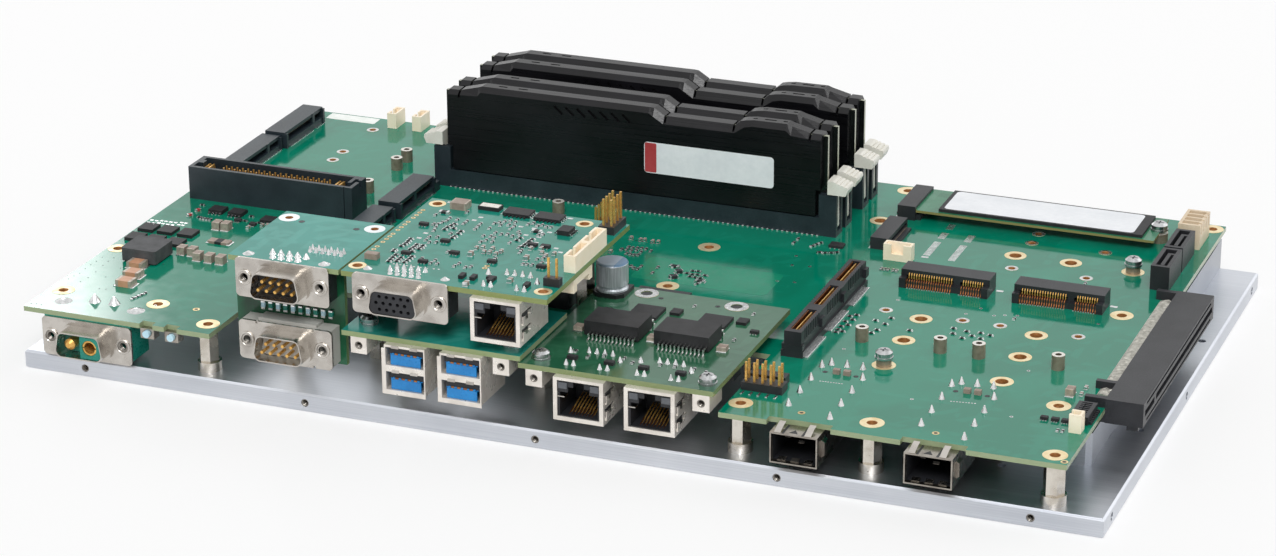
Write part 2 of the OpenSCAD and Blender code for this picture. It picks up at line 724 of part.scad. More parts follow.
// Latch: a stem in the tower's channel, a nose in the module's notch and a ribbed thumb rest
module latch(side) {
    stem_w = latch_slot - 0.4;
    top = dimm_tower_h;
    nose_top = top - 0.6;
    mirror([side < 0 ? 1 : 0, 0, 0]) {
        along_y(-stem_w / 2, stem_w / 2) {
            translate([pivot_x, pivot_z]) circle(1.3);
            polygon([[pivot_x - 1.3, pivot_z], [pivot_x + 1.3, pivot_z], [pivot_x + 1.1, top + 0.5],
                [pivot_x - 1.3, top + 0.5]]);
        }
        along_y(-module_t / 2, module_t / 2) polygon([[module_l / 2 - 1.1, nose_top - 1.9],
            [pivot_x, nose_top - 1.9], [pivot_x, nose_top], [module_l / 2 - 1.1, nose_top]]);
        translate([pivot_x, dimm_d / 2 - 0.9, pivot_z]) rotate([90, 0, 0]) cylinder(r = 0.8, h = dimm_d - 1.8);
        difference() {
            along_y(-dimm_d / 2 + 0.1, dimm_d / 2 - 0.1) polygon([[pivot_x - 1.4, top + 0.4],
                [pivot_x + 4.6, top + 0.4], [pivot_x + 5.4, top + 2.4], [pivot_x + 5.2, top + 3.4],
                [pivot_x + 0.4, top + 5], [pivot_x - 1.4, top + 5]]);
            for (k = [0:2]) translate([pivot_x + 1.4 + 1.3 * k, -dimm_d, top + 4.3 - 0.43 * k])
                cube([0.5, 2 * dimm_d, 2]);
        }
    }
}

module latch_at(pair, side) {
    color("ivory") on_board() translate([dimm_cx, dimm_y[pair], 0]) latch(side);
}

module latch_1_left() { latch_at(0, -1); }
module latch_1_right() { latch_at(0, 1); }
module latch_2_left() { latch_at(1, -1); }
module latch_2_right() { latch_at(1, 1); }
module latch_3_left() { latch_at(2, -1); }
module latch_3_right() { latch_at(2, 1); }
module latch_4_left() { latch_at(3, -1); }
module latch_4_right() { latch_at(3, 1); }

// Stacking connector: a walled box with a contact floor, polarised at both ends
stack_x = [3.2, 62.9];
stack_y = [102.4, 113.4];
stack_h = 11.2;
stack_floor = 6.5;
stack_wall = 1.3;

module board_connector() {
    x = [stack_x[0] + stack_wall, stack_x[1] - stack_wall];
    y = [stack_y[0] + stack_wall, stack_y[1] - stack_wall];
    top = stack_h + 1;
    color("darkslategray") on_board() difference() {
        slab(stack_x, stack_y, [0, stack_h]);
        slab([x[0] + 1.8, x[1] - 2.4], y, [stack_floor, top]);
        slab([x[0], x[0] + 2], [y[0], y[0] + 3.6], [stack_floor, top]);
        slab([x[0] + 0.6, x[0] + 2], [y[1] - 2.2, y[1]], [stack_floor, top]);
        slab([x[1] - 2.6, x[1]], [y[0], y[0] + 3.4], [stack_h - 3, top]);
        slab([x[1] - 1.2, x[1]], [y[0] + 3.4, y[1] - 1.2], [stack_h - 3, top]);
        slab([x[1] - 0.6, stack_x[1] + 1], [y[0] + 4.6, y[0] + 6.4], [stack_h - 2.2, top]);
        slab([x[1] - 1.7, x[1] - 1.4], [stack_y[0] - 1, stack_y[0] + 0.5], [-1, top]);
    }
}

// Card-edge sockets, open towards the right, each with a key post between two contact bays
module edge_socket(x, y, h, key) {
    color("darkslategray") on_board() difference() {
        union() {
            slab(x, y, [h - 1.1, h]);
            slab([x[0], x[0] + 2.6], y, [0, h]);
            slab([x[0] + 2, x[1] + 0.4], y, [0, h / 2 - 0.6]);
            slab([x[0] + 2, x[1] + 0.8], [y[0], y[0] + 1.2], [0, h - 0.4]);
            slab([x[0] + 2, x[1] + 0.8], [y[1] - 1.2, y[1]], [0, h - 0.4]);
            slab([x[0] + 2, x[1] + 0.2], [key - 0.8, key + 0.8], [0, h]);
        }
        slab([x[0] + 3.6, x[1] + 2], [y[0] + 2.4, key - 1.8], [h / 2 - 0.7, h / 2 - 0.5]);
    }
}

module edge_sockets() {
    edge_socket([3.5, 11], [by(40), by(10.5)], 5.7, by(18));
    edge_socket([2.8, 9.6], [by(71), by(40.8)], 4.9, by(50));
    edge_socket([69.3, 76.7], [by(88.6), by(61.1)], 5.7, by(76));
    color("darkslategray") on_board() slab([69.3, 77.4], [by(61.2), by(57.8)], [0, 3.2]);
    edge_socket([68.3, 75.7], [by(120), by(90.6)], 4.9, by(98));
}

// Long three-bay connector beside the network card: ribbed sides on a wider foot
bay_y = [45.3, 107.2];
bay_x = [rx(98.6), rx(93.2)];
bays = [[47.3, 63.6], [68.1, 84.3], [88.7, 105.9]];
bay_top = 8.3;
bay_floor = 2.4;

module bay_connector() {
    well = [bay_x[0] + 1.3, bay_x[1] - 1.3];
    color("black") on_board() difference() {
        union() {
            slab(bay_x, bay_y, [0, bay_top]);
            slab([bay_x[0] - 1, bay_x[1] + 0.6], bay_y, [0, 2.1]);
            slab([bay_x[0] - 0.7, bay_x[1] + 0.4], [bay_y[0] - 0.1, bay_y[0] + 1.9], [2.4, 4.2]);
            for (b = bays) slab([bay_x[0] - 0.35, bay_x[1] + 0.9], [b[1] - 1.4, b[1] + 1.4], [3.6, 6.4]);
        }
        for (b = bays) {
            slab(well, b, [bay_floor, bay_top + 1]);
            for (k = [0:8]) for (x = [bay_x[0] - 0.5, bay_x[1] - 0.25])
                slab([x, x + 0.75], [b[0] + 1 + 1.6 * k, b[0] + 1.7 + 1.6 * k], [bay_top - 3.4, bay_top + 1]);
        }
    }
}

// Drive sockets, open towards the right: the slot's floor is at slot_z
drive_t = 0.8;
drive_x1 = drive_x0 + drive_l;
tongue_half = drive_w / 2 - 1.7;

module m2_socket(y, h, slot_z) {
    x = drive_x0 - 5.1;
    half = tongue_half + 1;
    difference() {
        union() {
            slab([x, x + 6], [y - half, y + half], [0, h]);
            slab([x + 5, x + 7.6], [y - half + 0.9, y + half - 0.9], [0, slot_z - 0.9]);
            slab([x - 1.4, x + gap], [y - half + 4, y + half - 4], [0, 0.8]);
        }
        slab([x + 2.4, x + 9], [y - tongue_half - gap, y + tongue_half + gap],
            [slot_z - gap, slot_z + drive_t + gap]);
    }
}

module m2_sockets() {
    color("black") on_board() {
        m2_socket(drive_y, drive_z + 1.8, drive_z);
        m2_socket(by(48.9), 4, 1.9);
    }
}

module m2_drive() {
    half = drive_w / 2 - 0.6;
    top = drive_z + drive_t;
    color("black") on_board() {
        difference() {
            union() {
                slab([drive_x0 + 1.2, drive_x1], [drive_y - half, drive_y + half], [drive_z, top]);
                slab([drive_x0 - 2.4, drive_x0 + 2], [drive_y - tongue_half, drive_y + tongue_half],
                    [drive_z, top]);
            }
            rod([drive_x1 - 0.6, drive_y], screw_hole_r, drive_z - 1, top + 1);
        }
        slab([drive_x0 + 8.6, drive_x0 + 26], [drive_y - 9.2, drive_y + 9.2], [top, top + 1]);
        slab([drive_x0 + 27, drive_x0 + 45], [drive_y - 9.2, drive_y + 9.2], [top, top + 1]);
        slab([drive_x0 + 46, drive_x0 + 68], [drive_y - 9.2, drive_y + 9.2], [top, top + 1]);
    }
}

// Tinned spacers for plug-in cards, soldered to the board, and two lower posts with screws
post_spots = [[rx(68.8), 49.3], [rx(18.4), by(49.7)]];
post_h = 2.4;
post_r = 2.3;

module spacer(p, h, r) {
    translate([p[0], p[1], 0]) difference() {
        cylinder(r = r, h = h);
        translate([0, 0, 0.6]) cylinder(r = tap_r, h = h);
    }
}

module drive_spacers() {
    color("tan") on_board() {
        spacer([drive_x1 - 0.6, drive_y], drive_z, 2.8);
        for (p = post_spots) spacer(p, post_h, post_r);
        for (x = [rx(80.7), rx(56.3), rx(44.4), rx(20.2)]) spacer([x, 65], 4.5, 2);
        for (p = [[rx(274.5), by(45.1)], [rx(274.7), by(36.6)], [56.1, 128.7]]) spacer(p, 4.2, 2);
    }
}

// Sockets for half-length cards: a lid over a slot that faces the front, with a key near the right
module mini_card_socket(x) {
    y = 109.6;
    lid_y = y + 2.6;
    difference() {
        slab([x, x + 28.5], [lid_y, lid_y + 7.1], [0, 5.3]);
        slab([x + 1.7, x + 16.9], [lid_y - 1, lid_y + 5.6], [2.2, 3.5]);
        slab([x + 19, x + 26.8], [lid_y - 1, lid_y + 5.6], [2.2, 3.5]);
    }
    slab([x + 1.7, x + 26.8], [lid_y - 1.5, lid_y + gap], [0, 1.9]);
    for (s = [0, 26.4]) slab([x + s, x + s + 2.1], [y, lid_y + gap], [0, 3.2]);
}

module mini_card_sockets() {
    color("dimgray") on_board() {
        mini_card_socket(rx(83.3));
        mini_card_socket(rx(47));
    }
}

// Data connectors for drives: each has an L-shaped tongue in its well
module sata_connector(y) {
    x = rx(10.1);
    difference() {
        slab([x, x + 6], [y, y + 16.6], [0, 8]);
        slab([x + 1.3, x + 4.8], [y + 1.3, y + 15.3], [2, 9]);
    }
    slab([x + 2.4, x + 3.6], [y + 2.6, y + 13.2], [2, 7.6]);
    slab([x + 3.6, x + 4.6], [y + 12, y + 13.2], [2, 7.6]);
}

module sata_connectors() {
    color("black") on_board() {
        sata_connector(by(61.9));
        sata_connector(by(61.9) + 17.6);
    }
}

module drive_power_connector() {
    x = [rx(10.6), rx(3.4)];
    y = [by(23.8), by(9.8)];
    pitch = 3.2;
    color("wheat") on_board() difference() {
        slab(x, y, [0, 8.2]);
        for (k = [0:3]) {
            slab([x[0] + 1, x[1] - 1], [y[0] + 1 + pitch * k, y[0] + 3.4 + pitch * k], [2.4, 9]);
            slab([x[1] - 2, x[1] + 1], [y[0] + 1.7 + pitch * k, y[0] + 2.7 + pitch * k], [4.4, 9]);
        }
    }
}

// Edge-mounted expansion slot, open towards the right, straddling the board's edge
module expansion_slot() {
    y0 = 41.6;
    y1 = y0 + slot_l;
    mid = under / 2;
    x = [board_w, board_w + slot_out];
    key = y0 + 14.2;
    color("black") on_board() difference() {
        union() {
            slab(x, [y0, y1], [mid - 3.7, mid + 3.7]);
            for (y = [y0 + 0.3, y1 - 2.2]) {
                slab([x[0] - 6.2, x[0] + 1], [y, y + 1.9], [0, mid + 3.7]);
                slab([x[0] - 6.2, x[0] + 1], [y, y + 1.9], [mid - 3.7, under]);
            }
            slab([x[0] - 6.2, x[0] + 1], [key - 0.9, key + 0.9], [0, mid + 3.2]);
            slab([x[1] - 5, x[1] - 1.6], [y0 + 1, y0 + 3.4], [mid - 5.4, mid]);
        }
        slab([x[1] - 8.4, x[1] + 1], [y0 + 2, key - 0.95], [mid - 0.95, mid + 0.95]);
        slab([x[1] - 8.4, x[1] + 1], [key + 0.95, y1 - 2], [mid - 0.95, mid + 0.95]);
        for (z = [mid - 3, mid + 2.2])
            slab([x[1] - 1.2, x[1] + 1], [y0 + 4, y1 - 4], [z, z + 0.8]);
    }
}

// Side push switches in the board's front notches
switch_front = 0.6;

module side_switches() {
    color("silver") on_board() for (x = switch_cx) translate([x, 0, switch_cz]) {
        difference() {
            slab([-2.3, 2.3], [switch_front, switch_front + 3.4], [-1.7, 1.6]);
            translate([0, switch_front + 1.4, 0]) rotate([90, 0, 0]) cylinder(r = plunger_r + 0.12, h = 2);
        }
    }
}

module plunger(x) {
    color("lightblue") on_board() translate([x, switch_front + 0.8, switch_cz]) rotate([90, 0, 0])
        cylinder(r = plunger_r, h = 0.8 + plunger_out);
}

module plunger_left() { plunger(switch_cx[0]); }
module plunger_right() { plunger(switch_cx[1]); }

// Eight-way slide switch bank beside the expansion slot
module dip_switch() {
    x = rx(6.9);
    y = 28;
    ways = 8;
    pitch = 1.27;
    color("dimgray") on_board() {
        difference() {
            slab([x, x + 5.4], [y, y + pitch * ways + 1], [0, 2.5]);
            for (k = [0:ways - 1])
                slab([x + 1.2, x + 4.2], [y + 0.75 + pitch * k, y + 1.5 + pitch * k], [1.7, 3]);
        }
        for (k = [0:ways - 1]) {
            slab([x + 1.2, x + 2.3], [y + 0.75 + pitch * k, y + 1.5 + pitch * k], [1.7, 2.8]);
            slab([x + 5.4, x + 6.4], [y + 0.85 + pitch * k, y + 1.35 + pitch * k], [0, 0.9]);
        }
    }
}

// Pin strips: black bases, whose gold pins are drawn with the other contacts
header_pitch = 2.54;
front_header = [rx(100.9), 18.7];
back_header = [141, by(76.3)];
display_header = [170.8, 11.1];
rear_header = [170, 56];

module header_base(p, nx, ny, z) {
    slab([p[0] - 1.27, p[0] + header_pitch * (nx - 1) + 1.27], [p[1] - 1.27, p[1] + header_pitch * (ny - 1) + 1.27],
        [z, z + 2.5]);
}

module header_pins(p, nx, ny, z, h) {
    for (i = [0:nx - 1], j = [0:ny - 1])
        slab([p[0] + header_pitch * i - 0.32, p[0] + header_pitch * i + 0.32],
            [p[1] + header_pitch * j - 0.32, p[1] + header_pitch * j + 0.32], [z + 2.5, z + 2.5 + h]);
}

module pin_headers() {
    color("black") on_board() {
        header_base(front_header, 5, 2, 0);
        header_base(back_header, 2, 4, 0);
        header_base(display_header, 2, 1, upper_card_z);
        header_base(rear_header, 2, 4, upper_card_z);
    }
}

// Cream wire connectors: open boxes split along x, or towards the front where open_front is set
module wire_box(x, y, z, wall, open_front = false) {
    cx = (x[0] + x[1]) / 2;
    cy = (y[0] + y[1]) / 2;
    difference() {
        slab(x, y, z);
        slab([x[0] + wall, x[1] - wall], [y[0] + wall, y[1] - wall], [z[0] + 1.4, z[1] + 1]);
        if (open_front) slab([cx - 2, cx + 2], [y[0] - 1, y[0] + wall + 1], [z[0] + 2.2, z[1] + 1]);
        else slab([x[0] - 1, x[0] + wall + 1], [cy - 1, cy + 1], [z[0] + 2.6, z[1] + 1]);
    }
}

module cable_connectors() {
    top = upper_card_z;
    color("oldlace") on_board() {
        for (y = [22, 34.5]) wire_box([171, 174.7], [y, y + 12.3], [top, top + 5.3], 0.8);
        difference() {
            slab([170.4, 174.6], [20.9, 35.3], [upper_under - 4.4, upper_under]);
            slab([170, 176], [23.4, 32.8], [upper_under - 5, upper_under - 2.4]);
        }
        wire_box([rx(95), rx(85.8)], [by(66.9), by(63.3)], [0, 5.4], 0.7, true);
        wire_box([rx(5.4), rx(1.8)], [21.6, 25.6], [0, 5.6], 0.7);
        for (x = [34.8, 44.3]) wire_box([x, x + 3.4], [by(8), by(0.4)], [0, 5.4], 0.7);
    }
}

// Gold contacts that stand out of the insulators
module nine_pins(cx, cz) {
    for (p = nine_ways()) translate([cx + p[0], -recess, cz + p[1]]) rotate([90, 0, 0])
        cylinder(r = 0.5, h = shell_reach - 1.4);
}

module stack_pins() {
    pitch = 2;
    top = stack_h - 1.4;
    y0 = stack_y[0] + 2.2;
    for (row = [0:3], k = [0:19])
        rod([stack_x[0] + 9.9 + pitch * k, y0 + pitch * row], 0.3, stack_floor, top);
    for (x = [stack_x[0] + 3.5, stack_x[0] + 4.8, stack_x[1] - 8.4, stack_x[1] - 7.1])
        slab([x, x + 0.6], [stack_y[0] + 2.9, stack_y[1] - 2.4], [stack_floor, top]);
}

module jack_pins() {
    y = jack_y0 + sheet_t + gap;
    floor_z = -jack_h + 1.6;
    for (k = [0:7]) translate([(k - 3.5) * 1.02, 0, floor_z]) rotate([90, 0, 90]) translate([0, 0, -0.18])
        linear_extrude(0.36) polygon([[y + 3, 0], [y + 3.8, 0], [y + 12.4, 2.2], [y + 12.4, 2.6]]);
}

module contact_pins() {
    nose = flange_t + shell_reach;
    color("gold") on_board() {
        nine_pins(serial_cx, serial_up_cz);
        nine_pins(serial_cx + 0.3, serial_low_cz);
        translate([power_cx - 3.6, -recess, power_cz]) rotate([90, 0, 0]) {
            cylinder(r = 1.8, h = shell_reach - 2);
            translate([0, 0, shell_reach - 2]) cylinder(r1 = 1.8, r2 = 0.9, h = 0.9);
        }
        translate([power_cx + 3.6, 10, power_cz]) rotate([90, 0, 0]) difference() {
            cylinder(r = 2.4, h = 10 + nose - 0.8);
            translate([0, 0, 6]) cylinder(r = 1.85, h = 20);
            translate([-3, -0.2, 9]) cube([6, 0.4, 20]);
        }
        stack_pins();
        for (b = bays)
            slab([bay_x[0] + 2.55, bay_x[0] + 2.85], [b[0] + 0.6, b[1] - 0.6], [bay_floor, bay_top - 0.5]);
        for (x = net_jack_cx) translate([x, 0, net_under]) jack_pins();
        translate([lan_cx, 0, upper_under]) jack_pins();
        header_pins(front_header, 5, 2, 0, 6);
        header_pins(back_header, 2, 4, 0, 6);
        header_pins(display_header, 2, 1, upper_card_z, 6);
        header_pins(rear_header, 2, 4, upper_card_z, 8.4);
    }
}

// Flat packages: a body with a row of leads along two sides, turned where turn is 90
module chip(p, w, d, h, z = 0, leads = 0, pitch = 1.27, turn = 0) {
    translate([p[0], p[1], z]) rotate([0, 0, turn]) {
        slab([-w / 2, w / 2], [-d / 2, d / 2], [0, h]);
        if (leads > 0) for (s = [-1, 1], k = [0:leads - 1])
            translate([pitch * (k - (leads - 1) / 2), s * (d / 2 + 0.5), 0])
                slab([-0.2, 0.2], [-0.5, 0.5], [0, 0.5]);
    }
}

module board_chips() {
    top = upper_card_z;
    net = net_card_z;
    color("dimgray") on_board() {
        for (x = [4.4, 11.4, 18.7], y = [63.3, 72.1]) chip([x, y], 5.4, 5.8, 1.1);
        for (x = [18, 25.1]) chip([x, 94.3], 5, 4.6, 1.3, 0, 4);
        chip([37.4, 92.4], 4.4, 4.4, 1);
        for (x = [186.9, 208.6]) chip([x, 48.3], 9, 9, 1, net, 10, 0.8);
        for (x = [195.2, 216.4]) chip([x, 51.6], 3.2, 3.8, 0.9, net);
        for (x = [179.2, 190.8, 201.5, 213]) chip([x, 8.2], 3, 1.8, 1.1, net);
        chip([120.8, 60.4], 5.2, 4.4, 2.2, top);
        chip([129.9, 62.6], 7, 3.6, 1.2, top);
        chip([139.8, 61.6], 8.6, 5.4, 1, top, 6);
        chip([150.2, 61.2], 8.6, 5.4, 1, top, 6);
        chip([159.4, 51.9], 5, 3.9, 1.5, top, 4, 1.27, 90);
        for (x = [144.8, 148.4, 154, 165.3]) chip([x, 7.6], 1.5, 2.9, 1.1, top);
    }
}

// Block capacitors, ferrites and resistors
module board_capacitors() {
    top = upper_card_z;
    net = net_card_z;
    color("tan") on_board() {
        for (p = [[17, 41.2], [19.8, 33.6], [21.2, 26.4]]) chip(p, 5.4, 4.2, 2.1);
        for (p = [[25, 56.4], [28.7, 56.4], [32.2, 53.5], [36.4, 53.3], [40.4, 53.2],
            [25.1, 80.2], [28.2, 80.4]]) chip(p, 2.6, 3.2, 2.7);
        chip([31.6, 69.2], 7.4, 3.2, 0.8);
        chip([rx(11.7), 47.4], 2.4, 3.2, 2.4);
        for (cx = cage_cx) for (x = [-1.35, 1.85]) chip([cx + x, 38.5], 2, 1.6, 1.4);
        for (x = [172.7, 196.1, 218]) chip([x, 29.6], 2.8, 3, 1.5, net);
        chip([113.5, 12.2], 4, 2.4, 1.8, top);
        for (k = [0:9]) slab([79.4 + 2.5 * k, 80.6 + 2.5 * k], [riser_y - 0.9, riser_y],
            [serial_low_cz + flange_h / 2 + 1.6, serial_low_cz + flange_h / 2 + 4.2]);
    }
}

module power_inductor() {
    color("dimgray") on_board() {
        upright(0.5, 4.8) soft_rect([10, 22.3], [43.5, 55.5], 0.9);
        upright(0, 0.5) soft_rect([11.5, 20.8], [44.3, 54.7], 0.9);
    }
}

// Can capacitor on the network card: a rolled can on a chamfered square base
module electrolytic_capacitor() {
    r = 5;
    half = r + 0.15;
    color("silver") on_board() translate([net_x[0] + 5.5, 60.6, net_card_z]) {
        upright(0, 1.3) polygon([[-half, 2 - half], [2 - half, -half], [half - 2, -half], [half, 2 - half],
            [half, half], [-half, half]]);
        translate([0, 0, 1.3]) rotate_extrude() polygon([[0, 0], [r, 0], [r, 0.7], [r - 0.5, 1.2],
            [r - 0.5, 1.6], [r, 2.1], [r, 8.6], [r - 0.25, 9], [r - 0.8, 9.2], [0, 9.2]]);
    }
}

// Transformer packages of the network card, with a row of bent leads along the front and the back
module magnetics() {
    lead = [[0, 0], [1.5, 0], [1.5, 1.7], [3.9, 1.7], [3.9, 2.1], [1.1, 2.1], [1.1, 0.4], [0, 0.4]];
    color("black") on_board() for (x = net_jack_cx) translate([x - 0.9, 31.6, net_card_z]) {
        slab([-8.6, 8.6], [-5.7, 5.7], [0.5, 4.9]);
        for (s = [0, 1], k = [0:11]) mirror([0, s, 0]) translate([0.9 + 1.27 * (k - 5.5), -9.6, 0])
            along_x(-0.25, 0.25) polygon(lead);
    }
}

// Plated rings round the screw holes
module ring(p, hole, r, z) {
    rod_h = 0.08;
    translate([p[0], p[1], z]) difference() {
        cylinder(r = r, h = rod_h);
        translate([0, 0, -1]) cylinder(r = hole, h = 2);
    }
}

module plated_rings() {
    color("gold") on_board() {
        for (p = corner_holes) ring(p, screw_hole_r, p[0] < 4 ? ring_r - 0.3 : ring_r, 0);
        for (p = slot_holes) ring(p, slot_hole_r, ring_r - 0.1, 0);
        for (p = post_spots) ring(p, post_r + 0.05, ring_r, 0);
        for (p = net_holes) ring(p, net_hole_r, ring_r + 0.1, net_card_z);
        for (p = tin_holes) ring(p, 1.2, 2.1, 0);
        for (p = serial_holes) ring(p, 1.3, 3.25, upper_card_z);
        for (p = display_gold_holes) ring(p, screw_hole_r, 2.7, upper_card_z);
    }
}

// Solder cones over the pins of the connectors hung below the boards
module cone(p, z, r = 1.1, h = 1.7) {
    translate([p[0], p[1], z]) cylinder(r1 = r, r2 = r * 0.2, h = h);
}

// Joints of a network jack: signal pins behind, light pins in front, and the shell's two tabs
module jack_cones(cx, z) {
    for (k = [0:3]) cone([cx - 3.3 + 2.5 * k, 14.6], z, 0.8);
    for (x = [-6.2, -3.9, 4.3, 6.7]) cone([cx + x, 3.9], z, 0.8);
    for (p = [[-8.5, 12.9], [7.9, 10.9]]) cone([cx + p[0], p[1]], z, 0.9);
}

module solder_joints() {
    top = upper_card_z;
    color("silver") on_board() {
        for (p = [[9.5, 7.9], [34.3, 8.7]]) cone(p, 0, 2.8, 0.8);
        for (p = [[18.8, 10.9], [25.4, 11.2]]) cone(p, 0, 1.9, 2.4);
        for (cx = cage_cx) {
            for (k = [0:3]) {
                cone([cx - 7.05, 11.8 + 10 * k], 0, 1, 2.1);
                cone([cx + 7.1, 7 + 10 * k], 0, 1, 2.1);
            }
            for (x = [-4.9, -0.1, 4.8]) cone([cx + x, 44.4], 0, 1, 2.1);
        }
        for (cx = net_jack_cx) jack_cones(cx, net_card_z);
        jack_cones(lan_cx, top);
        for (p = nine_ways()) cone([serial_cx + p[0], 3.5 - p[1]], top);
        for (i = [0:5], j = [0, 1]) cone([93.8 + 2.05 * i, 10.5 + 2 * j], top, 0.7);
        for (j = [0:2], k = [0:4])
            cone([display_cx + 2.3 * (k - 2) - (j == 1 ? 1.1 : 0), 2.7 + 2.5 * j], top, 0.8, 1.6);
        for (s = [-1, 1]) {
            cone([serial_cx + s * flange_pitch / 2, 2.7], top, 1.8, 0.8);
            cone([display_cx + s * flange_pitch / 2, 4.2], top, 1.4, 0.8);
        }
    }
}

base_plate();
heat_block();
processor();
main_board();
board_standoffs();
board_chips();
board_capacitors();
power_inductor();
electrolytic_capacitor();
power_shell();
power_insert();
serial_card();
serial_riser();
serial_shells();
serial_inserts();
display_card();
display_shell();
display_insert();
lan_shell();
usb_card();
usb_shells();
usb_inserts();
network_card();
network_shells();
jack_inserts();
magnetics();
transceiver_cages();
threaded_blocks();
card_screws();
card_connectors();
dimm_sockets();
memory_modules();
memory_spreaders();
board_connector();
edge_sockets();
bay_connector();
m2_sockets();
m2_drive();
drive_spacers();
mini_card_sockets();
sata_connectors();
drive_power_connector();
expansion_slot();
side_switches();
plunger_left();
plunger_right();
dip_switch();
pin_headers();
cable_connectors();
contact_pins();
plated_rings();
solder_joints();
latch_1_left();
latch_1_right();
latch_2_left();
latch_2_right();
latch_3_left();
latch_3_right();
latch_4_left();
latch_4_right();
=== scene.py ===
import math

import bpy
import numpy as np
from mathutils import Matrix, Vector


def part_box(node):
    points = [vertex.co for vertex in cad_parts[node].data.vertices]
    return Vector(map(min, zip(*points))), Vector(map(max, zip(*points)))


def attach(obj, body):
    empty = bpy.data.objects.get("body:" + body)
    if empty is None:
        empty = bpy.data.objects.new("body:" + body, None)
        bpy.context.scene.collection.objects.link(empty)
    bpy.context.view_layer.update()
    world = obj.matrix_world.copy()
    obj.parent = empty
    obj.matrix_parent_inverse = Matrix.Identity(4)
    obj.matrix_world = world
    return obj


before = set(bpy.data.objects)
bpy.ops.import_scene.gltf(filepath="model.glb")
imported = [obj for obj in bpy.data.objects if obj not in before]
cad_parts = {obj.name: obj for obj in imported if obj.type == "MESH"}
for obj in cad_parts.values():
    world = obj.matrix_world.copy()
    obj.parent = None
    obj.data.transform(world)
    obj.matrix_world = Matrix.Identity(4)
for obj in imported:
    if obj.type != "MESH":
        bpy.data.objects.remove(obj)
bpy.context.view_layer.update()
print("frame loaded:", len(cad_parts), "nodes")

mm = 0.001
boardLow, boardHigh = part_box("main_board")
boardCorner = np.array([boardLow.x, boardLow.y, boardHigh.z])
boardWide = (boardHigh.x - boardLow.x) / mm
boardDeep = (boardHigh.y - boardLow.y) / mm


def fromRight(d):
    # a place told from the board's right edge
    return boardWide - d


def fromBack(d):
    # a place told from the board's back edge
    return boardDeep - d


# Small mesh kit: every shape is (points, list of face arrays), in millimetres


def outline(wide, deep, corner=0.0, perCorner=3):
    # A rectangle with round corners: quarter turns of the corner radius about four centres
    corner = min(corner, wide / 2, deep / 2)
    if corner <= 0:
        return np.array([[1, -1], [1, 1], [-1, 1], [-1, -1]]) * [wide / 2, deep / 2]
    turn = np.linspace(0, np.pi / 2, perCorner)
    start = np.array([-np.pi / 2, 0, np.pi / 2, np.pi])
    centres = np.array([[1, -1], [1, 1], [-1, 1], [-1, -1]]) * [wide / 2 - corner, deep / 2 - corner]
    angle = (start[:, None] + turn[None, :])[..., None]
    arcs = np.concatenate([np.cos(angle), np.sin(angle)], axis=2) * corner
    return (centres[:, None, :] + arcs).reshape(-1, 2)


def carried(ring, levels):
    # The ring is carried up through levels of (height, inset); the inset moves each point inwards
    ring = np.asarray(ring, float)
    half = np.abs(ring).max(axis=0)
    levels = np.asarray(levels, float)
    shrink = 1 - levels[:, 1, None] / half[None, :]
    flat = ring[None, :, :] * shrink[:, None, :]
    high = np.broadcast_to(levels[:, None, :1], flat.shape[:2] + (1,))
    return gridShape(np.concatenate([flat, high], axis=2))


def gridShape(points, looped=False):
    # Rows of rings make quads between each row and the next; looped rows close on the first one,
    # else the first and last ring are closed by a face each
    rows, sides = points.shape[:2]
    index = np.arange(rows * sides).reshape(rows, sides)
    caps = [] if looped else [index[:1, ::-1], index[-1:]]
    if looped:
        index = np.vstack([index, index[:1]])
    after = np.roll(index, -1, axis=1)
    quads = np.stack([index[:-1], after[:-1], after[1:], index[1:]], axis=-1).reshape(-1, 4)
    return points.reshape(-1, 3), [quads] + caps


def turned(profile, sides=16, looped=False):
    # A profile of (radius, height) is turned about the upright axis
    profile = np.asarray(profile, float)
    angle = np.arange(sides) * 2 * np.pi / sides
    x = profile[:, 0, None] * np.cos(angle)
    y = profile[:, 0, None] * np.sin(angle)
    z = np.broadcast_to(profile[:, 1, None], x.shape)
    return gridShape(np.stack([x, y, z], axis=-1), looped)


def washer(inner, outer, high, sides=24, ease=0.0):
    # A flat ring; its upper edges are eased by the given length
    top = [(outer, high - ease), (outer - ease, high), (inner + ease, high), (inner, high - ease)]
    if ease <= 0:
        top = [(outer, high), (inner, high)]
    return turned([(inner, 0), (outer, 0)] + top, sides, looped=True)


def disc(radius, thick, sides=16):
    return turned([(radius, 0), (radius, thick)], sides)


def strip(path, wide, thick):
    # A flat strip of the given width follows a path in x and z; its thickness lies under the path
    path = np.asarray(path, float)
    along = np.gradient(path, axis=0)
    along /= np.linalg.norm(along, axis=1)[:, None]
    normal = np.stack([-along[:, 1], along[:, 0]], axis=1)
    low = path - normal * thick
    rows = []
    for edge, side in ((path, 1), (path, -1), (low, -1), (low, 1)):
        rows.append(np.stack([edge[:, 0], np.full(len(path), side * wide / 2), edge[:, 1]], axis=1))
    return gridShape(np.stack(rows, axis=1))


def block(wide, deep, high, ease=0.0):
    # A box on z = 0, with its upper edges eased
    levels = [(0, 0), (high - ease, 0), (high, ease)] if ease > 0 else [(0, 0), (high, 0)]
    return carried(outline(wide, deep), levels)


def tilted(shape, axis, degrees):
    # The shape is turned about one of the three axes
    points, faces = shape
    a = math.radians(degrees)
    c, s = math.cos(a), math.sin(a)
    turns = {
        "x": [[1, 0, 0], [0, c, -s], [0, s, c]],
        "y": [[c, 0, s], [0, 1, 0], [-s, 0, c]],
        "z": [[c, -s, 0], [s, c, 0], [0, 0, 1]],
    }
    return points @ np.array(turns[axis]).T, faces


